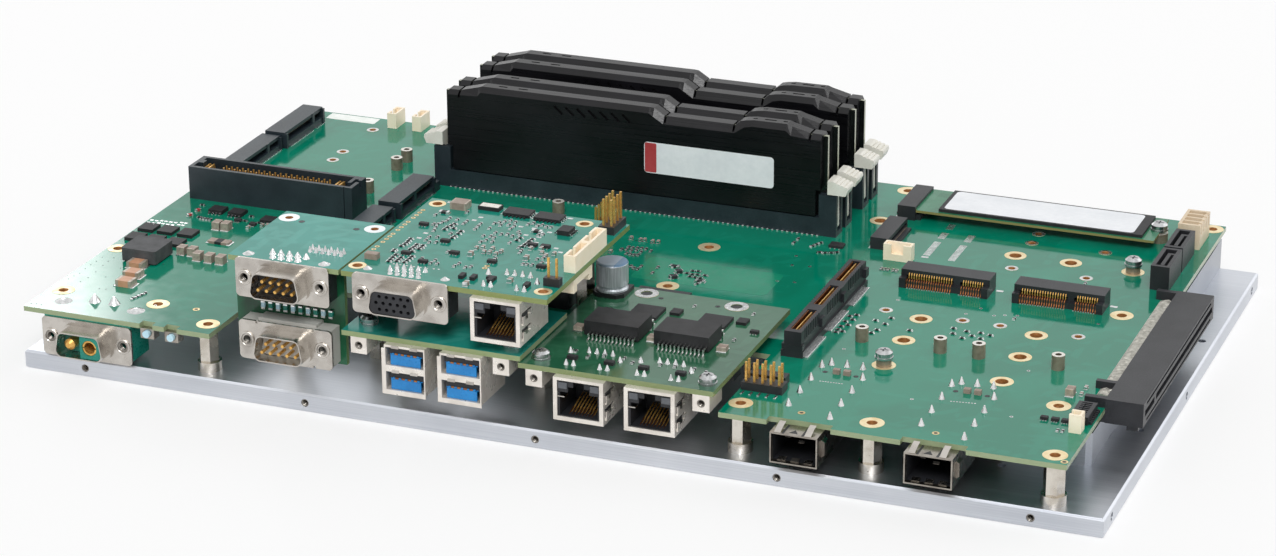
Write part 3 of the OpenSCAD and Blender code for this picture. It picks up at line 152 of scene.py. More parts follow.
def shifted(shape, x=0, y=0, z=0):
    points, faces = shape
    return points + np.array([x, y, z], float), faces


def scattered(shape, places, turn=0.0):
    # Copies of one shape: each is turned about z by the same angle and moved to its place
    points, faces = shape
    places = np.atleast_2d(np.asarray(places, float))
    local, _ = tilted(shape, "z", turn)
    moved = local[None, :, :] + places[:, None, :]
    shift = np.arange(len(places))[:, None, None] * len(points)
    return moved.reshape(-1, 3), [(f[None] + shift).reshape(-1, f.shape[1]) for f in faces]


def joined(*shapes):
    points, faces, start = [], [], 0
    for shapePoints, shapeFaces in shapes:
        points.append(shapePoints)
        faces += [f + start for f in shapeFaces]
        start += len(shapePoints)
    return np.concatenate(points), faces


def makePiece(name, finish, *shapes):
    # Board millimetres become metres in the frame, and the piece rides on the board
    points, faces = joined(*shapes)
    mesh = bpy.data.meshes.new(name)
    corners = [f for part in faces for f in part.tolist()]
    mesh.from_pydata((points * mm + boardCorner).tolist(), [], corners)
    mesh.materials.append(finishes[finish])
    mesh.polygons.foreach_set("use_smooth", [False] * len(mesh.polygons))
    mesh.update()
    piece = bpy.data.objects.new(name, mesh)
    bpy.context.scene.collection.objects.link(piece)
    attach(piece, "board")


# Materials


def toLinear(hexColour):
    # sRGB hex to linear light, by the sRGB curve
    parts = [int(hexColour[i : i + 2], 16) / 255 for i in (1, 3, 5)]
    return [c / 12.92 if c <= 0.04045 else ((c + 0.055) / 1.055) ** 2.4 for c in parts] + [1.0]


def addNode(near, kind, inputs=None, **settings):
    # A node in the tree that the given node or socket belongs to, with its settings, values and links
    tree = near.id_data
    node = tree.nodes.new(kind)
    for key, value in settings.items():
        setattr(node, key, value)
    for key, value in (inputs or {}).items():
        if isinstance(value, bpy.types.NodeSocket):
            tree.links.new(value, node.inputs[key])
        else:
            node.inputs[key].default_value = value
    return node


def startMaterial(name, baseHex, roughness, metallic=0.0, specular=0.5):
    material = bpy.data.materials.new(name)
    material.use_nodes = True
    shader = material.node_tree.nodes["Principled BSDF"]
    shader.inputs["Base Color"].default_value = toLinear(baseHex)
    shader.inputs["Roughness"].default_value = roughness
    shader.inputs["Metallic"].default_value = metallic
    shader.inputs["Specular IOR Level"].default_value = specular
    return material, shader, addNode(shader, "ShaderNodeTexCoord").outputs["Object"]


def grain(place, size, detail=2.0, stretch=(1, 1, 1), shift=(0, 0, 0)):
    # Noise whose lumps are about the given size in millimetres
    moved = addNode(place, "ShaderNodeMapping", {"Vector": place, "Location": shift, "Scale": stretch})
    inputs = {"Vector": moved.outputs[0], "Scale": 1000 / size, "Detail": detail}
    return addNode(place, "ShaderNodeTexNoise", inputs).outputs["Fac"]


def between(value, low, high, toLow=0.0, toHigh=1.0):
    inputs = {"Value": value, "From Min": low, "From Max": high, "To Min": toLow, "To Max": toHigh}
    return addNode(value, "ShaderNodeMapRange", inputs).outputs[0]


def blended(amount, first, second):
    # Colours are hex strings or sockets
    first, second = [toLinear(c) if isinstance(c, str) else c for c in (first, second)]
    inputs = {"Factor": amount, "A": first, "B": second}
    return addNode(amount, "ShaderNodeMix", inputs, data_type="RGBA").outputs["Result"]


def combined(operation, first, second):
    # Arithmetic on two values, at least one of them a socket
    near = first if isinstance(first, bpy.types.NodeSocket) else second
    return addNode(near, "ShaderNodeMath", {0: first, 1: second}, operation=operation).outputs[0]


def bumped(shader, height, depth):
    # Relief of the given depth in millimetres
    bump = addNode(shader, "ShaderNodeBump", {"Height": height, "Distance": depth * mm, "Strength": 1.0})
    linked(bump.outputs[0], shader, "Normal")


def linked(value, shader, socket):
    shader.id_data.links.new(value, shader.inputs[socket])


def table(keys, rows):
    # Each row of values becomes a dictionary under the given keys
    return {name: dict(zip(keys.split(), row)) for name, row in rows.items()}


mouldings = table("base light rough specular mottle grit depth", {
    # glass-filled nylon and LCP: dull, with a fine speckle of fibre ends
    # the black nylon finish also colours the black discs, sheets and linings that paint shade in holes and
    # openings
    "blackNylonAndPaintedShade": ("#1d1e21", "#2b2c30", 0.42, 0.4, 9, 0.35, 0.03),
    "slateLcp": ("#1b242a", "#283238", 0.40, 0.4, 8, 0.4, 0.03),
    "greyLcp": ("#4b4d52", "#62656a", 0.46, 0.4, 7, 0.4, 0.03),
    "epoxyMould": ("#1c1c1e", "#29292b", 0.55, 0.35, 4, 0.25, 0.02),
    "ferritePowder": ("#3b3c3e", "#505153", 0.62, 0.35, 3, 0.5, 0.06),
    "creamNylon": ("#f9e8cc", "#fff2dc", 0.38, 0.45, 6, 0.5, 0.02),
    "ivoryNylon": ("#d9d6cb", "#e8e6de", 0.36, 0.45, 6, 0.5, 0.02),
    "beigeNylon": ("#d2bda0", "#e0cfb5", 0.42, 0.45, 6, 0.5, 0.02),
    "greenPbt": ("#067062", "#0c8674", 0.3, 0.5, 6, 0.5, 0.02),
    "bluePbt": ("#1272b4", "#1d86cb", 0.33, 0.5, 6, 0.5, 0.02),
    "paleBlueNylon": ("#a9cfdf", "#bfdfea", 0.35, 0.5, 3, 0.5, 0.02),
    "ceramicTan": ("#bd8a6a", "#c9997a", 0.42, 0.4, 2, 0.4, 0.02),
    "ceramicGrey": ("#8b7b70", "#9c8c80", 0.45, 0.4, 1.5, 0.4, 0.02),
    "whiteLiquidMark": ("#e9efe9", "#f6f8f5", 0.5, 0.3, 2, 0.3, 0.01),
    "whiteFilm": ("#dfe2e6", "#eceef1", 0.42, 0.4, 12, 1.5, 0.01),
    "clearFilm": ("#0d8465", "#17906f", 0.16, 0.5, 14, 2.0, 0.002),
    "redFilm": ("#a5383c", "#b5484b", 0.4, 0.4, 8, 1.2, 0.01),
})


def moulded(name):
    # Moulded plastic: a faint cloudiness and a fine grit that scatters the gloss
    look = mouldings[name]
    material, shader, place = startMaterial(name, look["base"], look["rough"], specular=look["specular"])
    cloud = grain(place, look["mottle"], 3)
    grit = grain(place, look["grit"], 2)
    tone = combined("ADD", combined("MULTIPLY", cloud, 0.7), combined("MULTIPLY", grit, 0.3))
    linked(blended(between(tone, 0.35, 0.65), look["base"], look["light"]), shader, "Base Color")
    linked(between(grit, 0.3, 0.7, look["rough"] - 0.06, look["rough"] + 0.08), shader, "Roughness")
    bumped(shader, grit, look["depth"])
    return material


platings = table("base dull rough smudge grit depth metal", {
    # sheet and turned parts with a plated skin: bright, slightly clouded where handled
    "tinPlate": ("#c9c4bd", "#ada7a0", 0.24, 6, 0.5, 0.01),
    "brightTin": ("#ebe5dd", "#d5cec5", 0.3, 5, 0.5, 0.01, 0.5),
    "cagePlate": ("#aaa49b", "#878079", 0.26, 5, 0.5, 0.01),
    "nickelPlate": ("#d8d2c8", "#bdb5a9", 0.22, 4, 0.4, 0.008),
    "zincSteel": ("#c6c7c8", "#a2a3a4", 0.24, 2, 0.3, 0.01),
    # pale steel that is mostly diffuse and near white: its brightness is a painted highlight for the broad
    # light it would mirror
    "rimSteelPaintedHighlight": ("#e9e6df", "#cfcbc2", 0.3, 1, 0.3, 0.01, 0.35),
    "threadSteel": ("#99948d", "#77726c", 0.3, 1, 0.3, 0.01, 0.8),
    "firedTin": ("#b7ab9d", "#998e82", 0.38, 1, 0.3, 0.02, 0.3),
    "tailTin": ("#b5b3aa", "#8f8d85", 0.5, 1.5, 0.3, 0.03, 0.4),
    "solderTin": ("#e3e4e4", "#b9bcbc", 0.2, 1.2, 0.3, 0.03),
    "goldPlate": ("#e6b766", "#c29047", 0.28, 1.5, 0.3, 0.01, 0.65),
    "paleGold": ("#ecd6a6", "#cfb27a", 0.3, 2.5, 0.4, 0.01),
    "tinnedBrass": ("#9a8c7c", "#7b6e5f", 0.36, 2, 0.3, 0.01, 0.5),
    "copperWire": ("#b9794a", "#83512f", 0.34, 1.5, 0.3, 0.01),
    "platedBarrel": ("#c58a57", "#94602f", 0.4, 1.2, 0.3, 0.01, 0.25),
})


def plated(name):
    # Plated metal: smudges a few millimetres wide change the tone and the sharpness of reflections
    look = platings[name]
    material, shader, place = startMaterial(name, look["base"], look["rough"], look.get("metal", 1.0))
    smudge = grain(place, look["smudge"], 4)
    grit = grain(place, look["grit"], 2)
    linked(blended(between(smudge, 0.4, 0.7), look["base"], look["dull"]), shader, "Base Color")
    linked(between(smudge, 0.35, 0.7, look["rough"] - 0.06, look["rough"] + 0.12), shader, "Roughness")
    bumped(shader, grit, look["depth"])
    return material


milledLooks = table("base dull rough along across", {
    # milled and finely brushed aluminium: streaks along the last pass
    "milledPlate": ("#d5d8de", "#bfc3cb", 0.36, 60, 0.35),
    "milledBlock": ("#b9bcc1", "#9fa3aa", 0.38, 40, 0.3),
})


def milled(name):
    # Long streaks: noise squeezed along x, so each streak is many times longer than wide
    look = milledLooks[name]
    material, shader, place = startMaterial(name, look["base"], look["rough"], metallic=1.0)
    ratio = look["across"] / look["along"]
    streak = grain(place, look["across"], 3, stretch=(ratio, 1, 1))
    cloud = grain(place, 35, 3)
    tone = combined("ADD", combined("MULTIPLY", streak, 0.5), combined("MULTIPLY", cloud, 0.5))
    linked(blended(between(tone, 0.35, 0.65), look["dull"], look["base"]), shader, "Base Color")
    linked(between(streak, 0.3, 0.7, look["rough"] - 0.05, look["rough"] + 0.09), shader, "Roughness")
    bumped(shader, streak, 0.01)
    return material


laminates = table("deep field track edge rough fieldSize shift broad", {
    # glass laminate under glossy green solder mask: tracks as faint ribs, pale cut edges;
    # broad is the axis that its flat faces look along
    "mainLaminate": ("#00765c", "#007e63", "#0d8a70", "#8f9d7a", 0.09, 34, 0.0, "Z"),
    "serialLaminate": ("#1d887b", "#249083", "#4fa89b", "#87966a", 0.12, 16, 3.1, "Z"),
    "displayLaminate": ("#0b7c6a", "#118472", "#2a9484", "#7f8b52", 0.12, 12, 7.7, "Z"),
    "networkLaminate": ("#265a40", "#2d6247", "#3c7357", "#7d8b5f", 0.13, 18, 11.3, "Z"),
    "riserLaminate": ("#063c24", "#0a4f31", "#12603d", "#6f8a5c", 0.2, 14, 5.9, "Y"),
    "moduleLaminate": ("#0a0d0c", "#101413", "#181d1b", "#a9ab98", 0.25, 10, 2.3, "Y"),
    "driveLaminate": ("#1f6a4a", "#2a7654", "#46886a", "#8a8350", 0.2, 9, 4.9, "Z"),
    "packageLaminate": ("#18241d", "#203027", "#2b3d32", "#4a5a4c", 0.35, 9, 6.1, "Z"),
})


def laminate(name):
    # Fields come from broad noise cut at a level; tracks are narrow bands along x, along y and askew,
    # each shown only where its own noise is high; faces that stand upright are cut edges
    look = laminates[name]
    material, shader, place = startMaterial(name, look["field"], look["rough"], specular=0.5)
    shift = (look["shift"] * 0.01, look["shift"] * 0.02, 0)
    field = between(grain(place, look["fieldSize"], 2, shift=shift), 0.46, 0.54)
    tracks = None
    pitch = 1.1  # real tracks lie closer: this pitch still shows in the render
    for turn, seed in ((0, 0.11), (90, 0.23), (45, 0.37)):
        inputs = {"Vector": place, "Rotation": (0, 0, math.radians(turn))}
        askew = addNode(shader, "ShaderNodeMapping", inputs)
        inputs = {"Vector": askew.outputs[0], "Scale": 1000 / pitch / 20}
        bands = addNode(shader, "ShaderNodeTexWave", inputs, bands_direction="X")
        where = between(grain(place, 11, 1, shift=(seed, seed * 2, 0)), 0.56, 0.6)
        shown = combined("MULTIPLY", between(bands.outputs["Fac"], 0.62, 0.8), where)
        tracks = shown if tracks is None else combined("MAXIMUM", tracks, shown)
    cloud = grain(place, 4, 3, shift=shift)
    ground = blended(field, look["deep"], look["field"])
    ground = blended(combined("MULTIPLY", tracks, 0.3), ground, look["track"])
    normal = addNode(shader, "ShaderNodeNewGeometry").outputs["Normal"]
    facing = addNode(shader, "ShaderNodeSeparateXYZ", {"Vector": normal})
    flat = combined("ABSOLUTE", facing.outputs[look["broad"]], 0.0)
    linked(blended(between(flat, 0.3, 0.7), look["edge"], ground), shader, "Base Color")
    linked(between(cloud, 0.3, 0.7, look["rough"] - 0.03, look["rough"] + 0.04), shader, "Roughness")
    bumped(shader, tracks, 0.001)
    return material


def splitByHeight(name, lower, upper, level, rough):
    # One moulding set in two colours, parted at a height over the floor in millimetres
    material, shader, place = startMaterial(name, lower, rough, specular=0.45)
    height = addNode(shader, "ShaderNodeSeparateXYZ", {"Vector": place}).outputs["Z"]
    above = combined("GREATER_THAN", height, level * mm)
    grit = grain(place, 0.5, 2)
    linked(blended(above, lower, upper), shader, "Base Color")
    linked(between(grit, 0.3, 0.7, rough - 0.05, rough + 0.08), shader, "Roughness")
    bumped(shader, grit, 0.02)
    return material


def spreaderPaint():
    # Black anodised aluminium sheet: satin, with faint rolling lines along its length
    material, shader, place = startMaterial("anodisedBlack", "#0b0b0d", 0.3, specular=0.32)
    streak = grain(place, 0.5, 3, stretch=(0.02, 1, 1))
    cloud = grain(place, 14, 3)
    linked(blended(between(cloud, 0.35, 0.7), "#08080a", "#141317"), shader, "Base Color")
    linked(between(streak, 0.3, 0.7, 0.24, 0.38), shader, "Roughness")
    bumped(shader, streak, 0.012)
    return material


def capacitorCan():
    # Rolled aluminium can: a printed sector covers one side of its top
    material, shader, place = startMaterial("rolledCan", "#c3c8cc", 0.3, metallic=1.0)
    low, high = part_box("electrolytic_capacitor")
    split = addNode(shader, "ShaderNodeSeparateXYZ", {"Vector": place})
    right = combined("GREATER_THAN", split.outputs["X"], (low.x + high.x) / 2 + 2.2 * mm)
    top = combined("GREATER_THAN", split.outputs["Z"], high.z - 0.5 * mm)
    base = combined("LESS_THAN", split.outputs["Z"], low.z + 1.45 * mm)
    printed = combined("MULTIPLY", right, top)
    streak = grain(place, 0.4, 3, stretch=(1, 1, 0.05))
    metal = blended(between(streak, 0.35, 0.65), "#a9afb4", "#cdd2d6")
    metal = blended(top, metal, "#8d9cab")
    metal = blended(printed, metal, "#5f7d99")
    linked(blended(base, metal, "#17181a"), shader, "Base Color")
    linked(combined("SUBTRACT", 0.75, combined("MAXIMUM", top, base)), shader, "Metallic")
    linked(between(streak, 0.3, 0.7, 0.34, 0.46), shader, "Roughness")
    bumped(shader, streak, 0.01)
    return material


def withTin(name, body, tinned, lead="#dcdcda"):
    # Moulded body whose leads are tinned: tinned gives the mask from the place's x, y and z in board mm
    look = mouldings[body]
    material, shader, place = startMaterial(name, look["base"], look["rough"], specular=look["specular"])
    inputs = {"Vector": place, "Location": tuple(-boardCorner / mm), "Scale": (1000, 1000, 1000)}
    own = addNode(shader, "ShaderNodeMapping", inputs)
    split = addNode(shader, "ShaderNodeSeparateXYZ", {"Vector": own.outputs[0]})
    mask = tinned(split.outputs["X"], split.outputs["Y"], split.outputs["Z"])
    cloud = grain(place, look["mottle"], 3)
    grit = grain(place, look["grit"], 2)
    tone = blended(between(cloud, 0.35, 0.65), look["base"], look["light"])
    linked(blended(mask, tone, lead), shader, "Base Color")
    linked(mask, shader, "Metallic")
    linked(between(mask, 0, 1, look["rough"], 0.25), shader, "Roughness")
    bumped(shader, grit, look["depth"])
    return material


def beyond(value, middle, reach):
    # One where the value lies farther than reach from the middle
    off = combined("ABSOLUTE", combined("SUBTRACT", value, middle), 0.0)
    return combined("GREATER_THAN", off, reach)


def platedRing():
    # Gilt rings, but those of the serial card are tinned: it is the high card left of the display card
    material, shader, place = startMaterial("platedRing", "#ecd6a6", 0.3, metallic=0.7)
    split = addNode(shader, "ShaderNodeSeparateXYZ", {"Vector": place})
    left = combined("LESS_THAN", split.outputs["X"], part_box("serial_card")[1].x)
    high = combined("GREATER_THAN", split.outputs["Z"], boardHigh.z + 20 * mm)
    tinned = combined("MULTIPLY", left, high)
    smudge = grain(place, 2.5, 4)
    gilt = blended(between(smudge, 0.4, 0.7), "#f4e3bb", "#e6cf9f")
    linked(blended(tinned, gilt, "#e9eef0"), shader, "Base Color")
    linked(between(smudge, 0.35, 0.7, 0.3, 0.48), shader, "Roughness")
    return material


finishes = {name: moulded(name) for name in mouldings}
finishes.update({name: plated(name) for name in platings})
finishes.update({name: milled(name) for name in milledLooks})
finishes.update({name: laminate(name) for name in laminates})
finishes["anodisedBlack"] = spreaderPaint()
finishes["rolledCan"] = capacitorCan()
finishes["platedRing"] = platedRing()
finishes["magneticsMould"] = withTin(
    "magneticsMould", "epoxyMould", lambda x, y, z: beyond(y, 31.6, 5.74)
)
finishes["serialMoulding"] = splitByHeight("serialMoulding", "#b7b6b0", "#26272a", 34.8, 0.38)
print("materials made:", len(finishes))

# The model's own solids get their finishes
dressing = {
    "milledPlate": "base_plate",
    "milledBlock": "heat_block",
    "packageLaminate": "processor",
    "mainLaminate": "main_board",
    "nickelPlate": "board_standoffs",
    "epoxyMould": "board_chips",
    "ceramicGrey": "board_capacitors",
    "ferritePowder": "power_inductor",
    "rolledCan": "electrolytic_capacitor",
    "tinPlate": "power_shell serial_shells display_shell",
    "greenPbt": "power_insert",
    "serialLaminate": "serial_card usb_card",
    "riserLaminate": "serial_riser",
    "serialMoulding": "serial_inserts",
    "displayLaminate": "display_card",
    "blackNylonAndPaintedShade": "display_insert jack_inserts card_connectors bay_connector m2_sockets "
        "mini_card_sockets sata_connectors expansion_slot dip_switch pin_headers",
    "brightTin": "lan_shell usb_shells network_shells threaded_blocks",
    "bluePbt": "usb_inserts",
    "networkLaminate": "network_card",
    "magneticsMould": "magnetics",
    "cagePlate": "transceiver_cages side_switches",
    "zincSteel": "card_screws",
    "slateLcp": "dimm_sockets board_connector edge_sockets",
    "moduleLaminate": "memory_modules",
    "anodisedBlack": "memory_spreaders",
    "driveLaminate": "m2_drive",
    "tinnedBrass": "drive_spacers",
    "beigeNylon": "drive_power_connector",
    "paleBlueNylon": "plunger_left plunger_right",
    "creamNylon": "cable_connectors",
    "goldPlate": "contact_pins",
    "platedRing": "plated_rings",
    "solderTin": "solder_joints",
}
finishOf = {node: finish for finish, nodes in dressing.items() for node in nodes.split()}
for node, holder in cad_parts.items():
    holder.data.materials.clear()
    holder.data.materials.append(finishes[finishOf.get(node, "ivoryNylon")])
print("solids dressed")

cardTop = (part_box("display_card")[1].z - boardHigh.z) / mm
netTop = (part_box("network_card")[1].z - boardHigh.z) / mm
levels = dict(board=0.0, card=cardTop, net=netTop)  # top faces over the board's own


def onLevel(spots, level):
    # Places on the board or on a card: the level's height joins each x and y
    return np.column_stack([np.array(spots, float), np.full(len(spots), levels[level])])


# Chip parts soldered flat: size is long, wide and high, cap is the length of each tin end
smallKinds = dict(
    resistor=dict(size=(1.6, 0.8, 0.5), cap=0.36, body="epoxyMould"),
    capacitor=dict(size=(1.7, 0.95, 0.9), cap=0.36, body="ceramicGrey"),
    brown=dict(size=(2.1, 1.4, 1.3), cap=0.4, body="ceramicGrey"),
    large=dict(size=(3.2, 1.6, 0.7), cap=0.8, body="epoxyMould"),
    diode=dict(size=(1.9, 0.9, 0.8), cap=0.4, body="redFilm"),
    black=dict(size=(2.6, 1.6, 1.1), cap=0.3, body="blackNylonAndPaintedShade"),
)
smallParts = [
    # kind, level, turn in degrees, places seen in the photograph
    ("resistor", "card", 0, [
        (117.8, 30.3), (117.9, 28.6), (118.1, 27), (118, 25.5), (117.6, 23.9), (121.6, 26.6), (121.7, 25),
        (121.6, 23.7), (121.3, 22.4), (123.6, 26.5), (123.8, 24.9), (123.6, 23.6), (122.6, 20.9),
        (117.2, 20.3), (117.2, 19.1), (119.2, 16.8), (119.2, 14.8), (119.3, 12.9), (119.4, 11.2),
        (121.6, 13.6), (121.6, 12.2), (121.6, 15.3), (124.1, 12.1), (124.3, 13.8), (124.4, 15.5),
        (124.3, 17.2), (129.4, 41.5), (129.5, 39.4), (129.4, 36.8), (129.2, 35.4), (124.1, 41.2),
        (124.2, 43.2), (124.7, 44.9), (125.1, 46.4), (126.4, 42.9), (151.9, 36.4), (151.9, 38.1),
        (152.1, 39.4), (152, 41.1), (152.2, 42.9), (148.2, 40.5), (148.4, 42.7),
    ]),
    ("resistor", "card", 90, [
        (116.3, 51.4), (121.6, 50.3), (121.6, 48.1), (124.3, 50), (127.5, 49.9), (127.4, 47.8),
        (119, 44.2), (120.2, 44.4), (120.9, 46.2), (120.7, 41.9), (121.3, 39.3), (127.2, 38.5),
        (132.4, 47.1), (132.5, 44.8), (132.3, 49.4), (136.4, 46.7), (122.3, 33.7), (124.6, 34.5),
        (122.4, 31), (124.1, 29.7), (126, 30.4), (127.6, 16.7), (131.9, 16.7), (131.6, 14.2),
        (133.6, 14.5), (132.6, 24.4), (139.6, 16.9), (139.1, 14.5), (142.6, 14.7), (143.9, 15.8),
        (139.6, 43.9), (141.7, 43.4), (137.2, 40.2), (139.4, 40.7), (140.8, 40), (139.4, 37.2),
        (141.7, 36.7), (138.4, 35.3), (124.4, 57.2), (136.1, 51.0), (137.2, 52.3), (138.4, 53.6),
        (139.8, 55), (141.7, 54.2), (138.5, 50.4), (140.7, 51.5), (142.7, 51), (146, 53.9), (147.2, 55.4),
        (149.2, 53.8), (150.3, 54.8), (152, 54), (153.5, 54), (142.5, 48.7), (145.8, 47.1), (146.9, 45.4),
        (143.5, 43.9), (145.4, 43.2), (146.9, 37.7), (152.4, 46.8), (153.6, 47.6), (152.6, 33.3),
        (151, 35.2), (152.9, 31.5), (157.4, 23.2), (158.7, 23.2), (160.2, 23.5), (159.8, 28.3),
        (161.1, 29.8), (162.2, 26.2), (148, 24.4),
    ]),
    ("capacitor", "card", 90, [
        (139.5, 30), (141.1, 31.2), (142.9, 27.9), (144.6, 28.2), (146.8, 27.6), (144.2, 31.3),
        (147.5, 30.1), (154.8, 35.3), (157.8, 36.4), (159.4, 33.1), (161.3, 31.4), (163, 33.9),
    ]),
    ("brown", "card", 90, [(159.4, 9.1), (156.8, 27.3), (140, 24.6), (148.4, 2.2)]),
    ("large", "card", 0, [(150.9, 49.3), (118, 54.4)]),
    ("resistor", "board", 0, [
        (10.4, 97.7), (14.8, 87.2), (26.2, 86.9), (30.4, 89.4), (33.6, 88.6), (35.6, 89.3), (30.5, 93.8),
        (240.3, 68), (240.3, 70.2), (242, 69.2), (240.3, 72.9), (242, 74.6), (240.3, 77), (242, 79),
        (240.3, 81.4), (242, 83), (252.6, 84.4), (252.3, 79.3), (248.7, 80.9), (251.4, 74), (250.5, 71.2),
        (260.7, 77), (273.6, 79.3), (277, 82.4), (277.2, 76.9), (279.5, 79.6), (281.3, 82.7),
        (282.5, 78.4), (284.5, 81.9), (272.6, 83.3), (162.8, 95.9), (181.6, 97), (183.4, 94.7),
        (183.5, 96.7), (185.2, 94.5), (185.1, 97), (186.9, 94.7), (187.5, 97.1), (182.6, 99.4),
        (184.3, 99.7),
    ]),
    ("resistor", "board", 90, [
        (15.9, 86.3), (17, 86.3), (18.1, 86.3), (19.2, 86.3), (237.3, 122.2), (238.4, 122.2),
        (239.5, 122.2), (241.2, 122.2), (242.3, 122.2), (154.7, 109), (156.2, 109.4), (157.9, 108.8),
        (159.5, 109.6), (161.3, 108.9), (321.7, 21.5), (323.1, 21.5), (287.6, 97), (300.4, 132.6),
        (154.6, 108.7), (156, 111.6), (157.4, 111.4), (158.9, 111.8), (160.4, 111.9), (161.9, 111.9),
        (157.5, 106), (158.9, 105.8), (160.2, 105.6), (161.4, 106.1), (163.9, 110.8), (162.9, 96.2),
        (164.3, 95.1), (165.7, 94.7), (165.9, 97.3), (171.1, 98.5), (171.2, 93.4), (204.1, 133.8),
        (204.3, 137.5), (28.7, 16.8), (29.2, 18.5), (29.7, 20.2), (30.2, 21.9),
    ]),
    ("diode", "board", 60, [(11, 87.6), (11.4, 92.6)]),
    ("resistor", "board", 60, [
        (175.7, 100.5), (187.5, 89.6), (188.4, 91.8), (210.6, 133.2), (211.4, 134.9), (212.2, 136.6)
    ]),
    ("resistor", "board", 30, [(214.5, 128.8), (216.3, 128.9), (218.1, 129.7), (219.7, 130.6)]),
    ("black", "board", 40, [(178.8, 96.7), (178.9, 92)]),
    ("capacitor", "board", 90, [
        (37.7, 87.3), (39.2, 87.9), (321.6, 53.4), (321.5, 48.4), (34.2, 84.1), (152.2, 105.6), (43.6, 96),
        (154, 119.1), (157.4, 118.6), (158.7, 118.9), (161.6, 118.5), (163.4, 118.8),
    ]),
    ("large", "board", 0, [(175.8, 100.8), (187.7, 92)]),
    ("resistor", "net", 90, [
        (176.6, 13.6), (178, 13.6), (182.9, 10.9), (187.2, 13.2), (193.4, 13.4), (196.8, 11.2),
        (205, 12.7), (209.4, 12.9), (215.2, 13.2), (219.2, 12.1), (172.3, 38.3), (196.2, 38.7),
        (218.6, 37.9), (198.4, 58.4), (217.2, 58.8),
    ]),
]


def smallShapes(kind):
    # The body lies a little lower and narrower than its tin ends; a thin foot runs out under each end
    long, wide, high = kind["size"]
    cap = kind["cap"]
    ease = 0.05
    body = block(long - 2 * cap + 0.06, wide, high * 0.97, ease)
    foot = shifted(block(cap + 0.3, wide * 1.15, 0.1), x=0.1)
    end = shifted(joined(block(cap, wide * 1.03, high, ease), foot), x=(long - cap) / 2)
    return body, joined(end, tilted(end, "z", 180))


def solderSmallParts():
    bodies, ends = {}, []
    for kindName, level, turn, spots in smallParts:
        kind = smallKinds[kindName]
        places = onLevel(spots, level)
        body, end = smallShapes(kind)
        bodies.setdefault(kind["body"], []).append(scattered(body, places, turn))
        ends.append(scattered(end, places, turn))
    for finish, shapes in bodies.items():
        makePiece("small_bodies_" + finish, finish, *shapes)
    makePiece("small_ends", "solderTin", *ends)


# Small cases with three feet on each long side: level, wide, deep and places
caseLook = dict(high=1.0, lift=0.1, ease=0.12, foot=(0.42, 0.9, 0.25, 0.05), out=0.3, pitch=0.32)
smallCases = [
    ("card", 2.9, 1.5, [
        (116.5, 42.6), (135, 24), (121.5, 18.9), (128.4, 32), (129.1, 14.3), (148.3, 21.4), (158.4, 38.3),
        (154.3, 38.1), (163.5, 22.8), (153.4, 9.2),
    ]),
    ("board", 2.2, 1.5, [
        (316.0, 28.2), (319.2, 28.2), (322.2, 28.2), (34.4, 87.0), (178.6, 97), (178.5, 92.1),
        (28.2, 88.6), (56.4, 118.4), (296.6, 128.4),
    ]),
    ("board", 4.6, 3.4, [(218, 135.9)]),
    ("net", 2.6, 1.5, [(175.3, 46.1), (222.4, 45.2)]),
]


def solderCases():
    look = caseLook
    lift = look["lift"]
    cases, feet = [], []
    for level, wide, deep, spots in smallCases:
        places = onLevel(spots, level)
        case = shifted(block(wide, deep, look["high"] - lift, look["ease"]), z=lift)
        across, out = wide * look["pitch"], deep / 2 + look["out"]
        row = [(x * across, s * out, 0) for x in (-1, 0, 1) for s in (-1, 1)]
        cases.append(scattered(case, places))
        feet.append(scattered(scattered(block(*look["foot"]), row), places))
    makePiece("small_cases", "epoxyMould", *cases)
    makePiece("small_case_feet", "solderTin", *feet)


padThick = 0.06  # pads and rings are drawn thicker than real ones, so that they show

# Bare tinned pads: level, size and places
barePads = [
    ("card", (1.5, 1.1), [
        (115.8, 63.4), (119.8, 36.6), (119.6, 32.2), (129.1, 51.8), (130, 54.8), (144.6, 51.8),
        (149, 51.8), (148.8, 45.8), (153.2, 45.5), (154.6, 50.4), (154.1, 41), (161.6, 38.8), (164, 36.2),
        (163.9, 27), (156.1, 63.5),
    ]),
    ("card", (0.6, 0.6), [(x, 10.2) for x in (121.5, 123.6, 125.7, 128, 130.1, 132.2)]),
    ("card", (0.6, 0.6), [(134.2, 10.7), (135.7, 10.9)]),
    ("board", (1.2, 1.0), [(x, y) for x in (1.3, 3.1) for y in (77.3, 79.6)]),
    ("board", (1.2, 1.0), [(x, y) for x in (4.7, 6.3, 8.1, 9.7) for y in (78, 80.2)]),
    ("board", (1.2, 1.0), [(x, y) for x in (11.6, 13.1) for y in (78.9, 81)]),
    ("board", (2.3, 0.56), [(247, y) for y in np.arange(138.8, 151.3, 0.8)]),
    ("board", (2.3, 0.56), [(247, y) for y in np.arange(154.5, 160, 0.8)]),
    ("board", (2.3, 0.56), [(247, y) for y in np.arange(163.5, 168, 0.8)]),
    ("board", (2.3, 0.56), [(255.7, y) for y in np.arange(137, 151, 0.8)]),
    ("board", (2.3, 0.56), [(255.7, y) for y in np.arange(154.5, 160.5, 0.8)]),
    ("board", (2.3, 1.3), [(277.2, 117.5), (313.4, 117.5), (247, 137)]),
    ("board", (0.5, 0.5), [(287.6 + 0.86 * k, 30.8 + 0.12 * k) for k in range(9)]),
    ("board", (0.5, 0.5), [(247.7 + 0.81 * k, 31.4 + 0.04 * k) for k in range(9)]),
    ("board", (0.5, 0.5), [(153.6 + 1.24 * k, 118) for k in range(9)]),
]


def tinPads():
    shapes = []
    for level, (wide, deep), spots in barePads:
        shapes.append(scattered(block(wide, deep, padThick), onLevel(spots, level)))
    makePiece("tin_pads", "solderTin", *shapes)
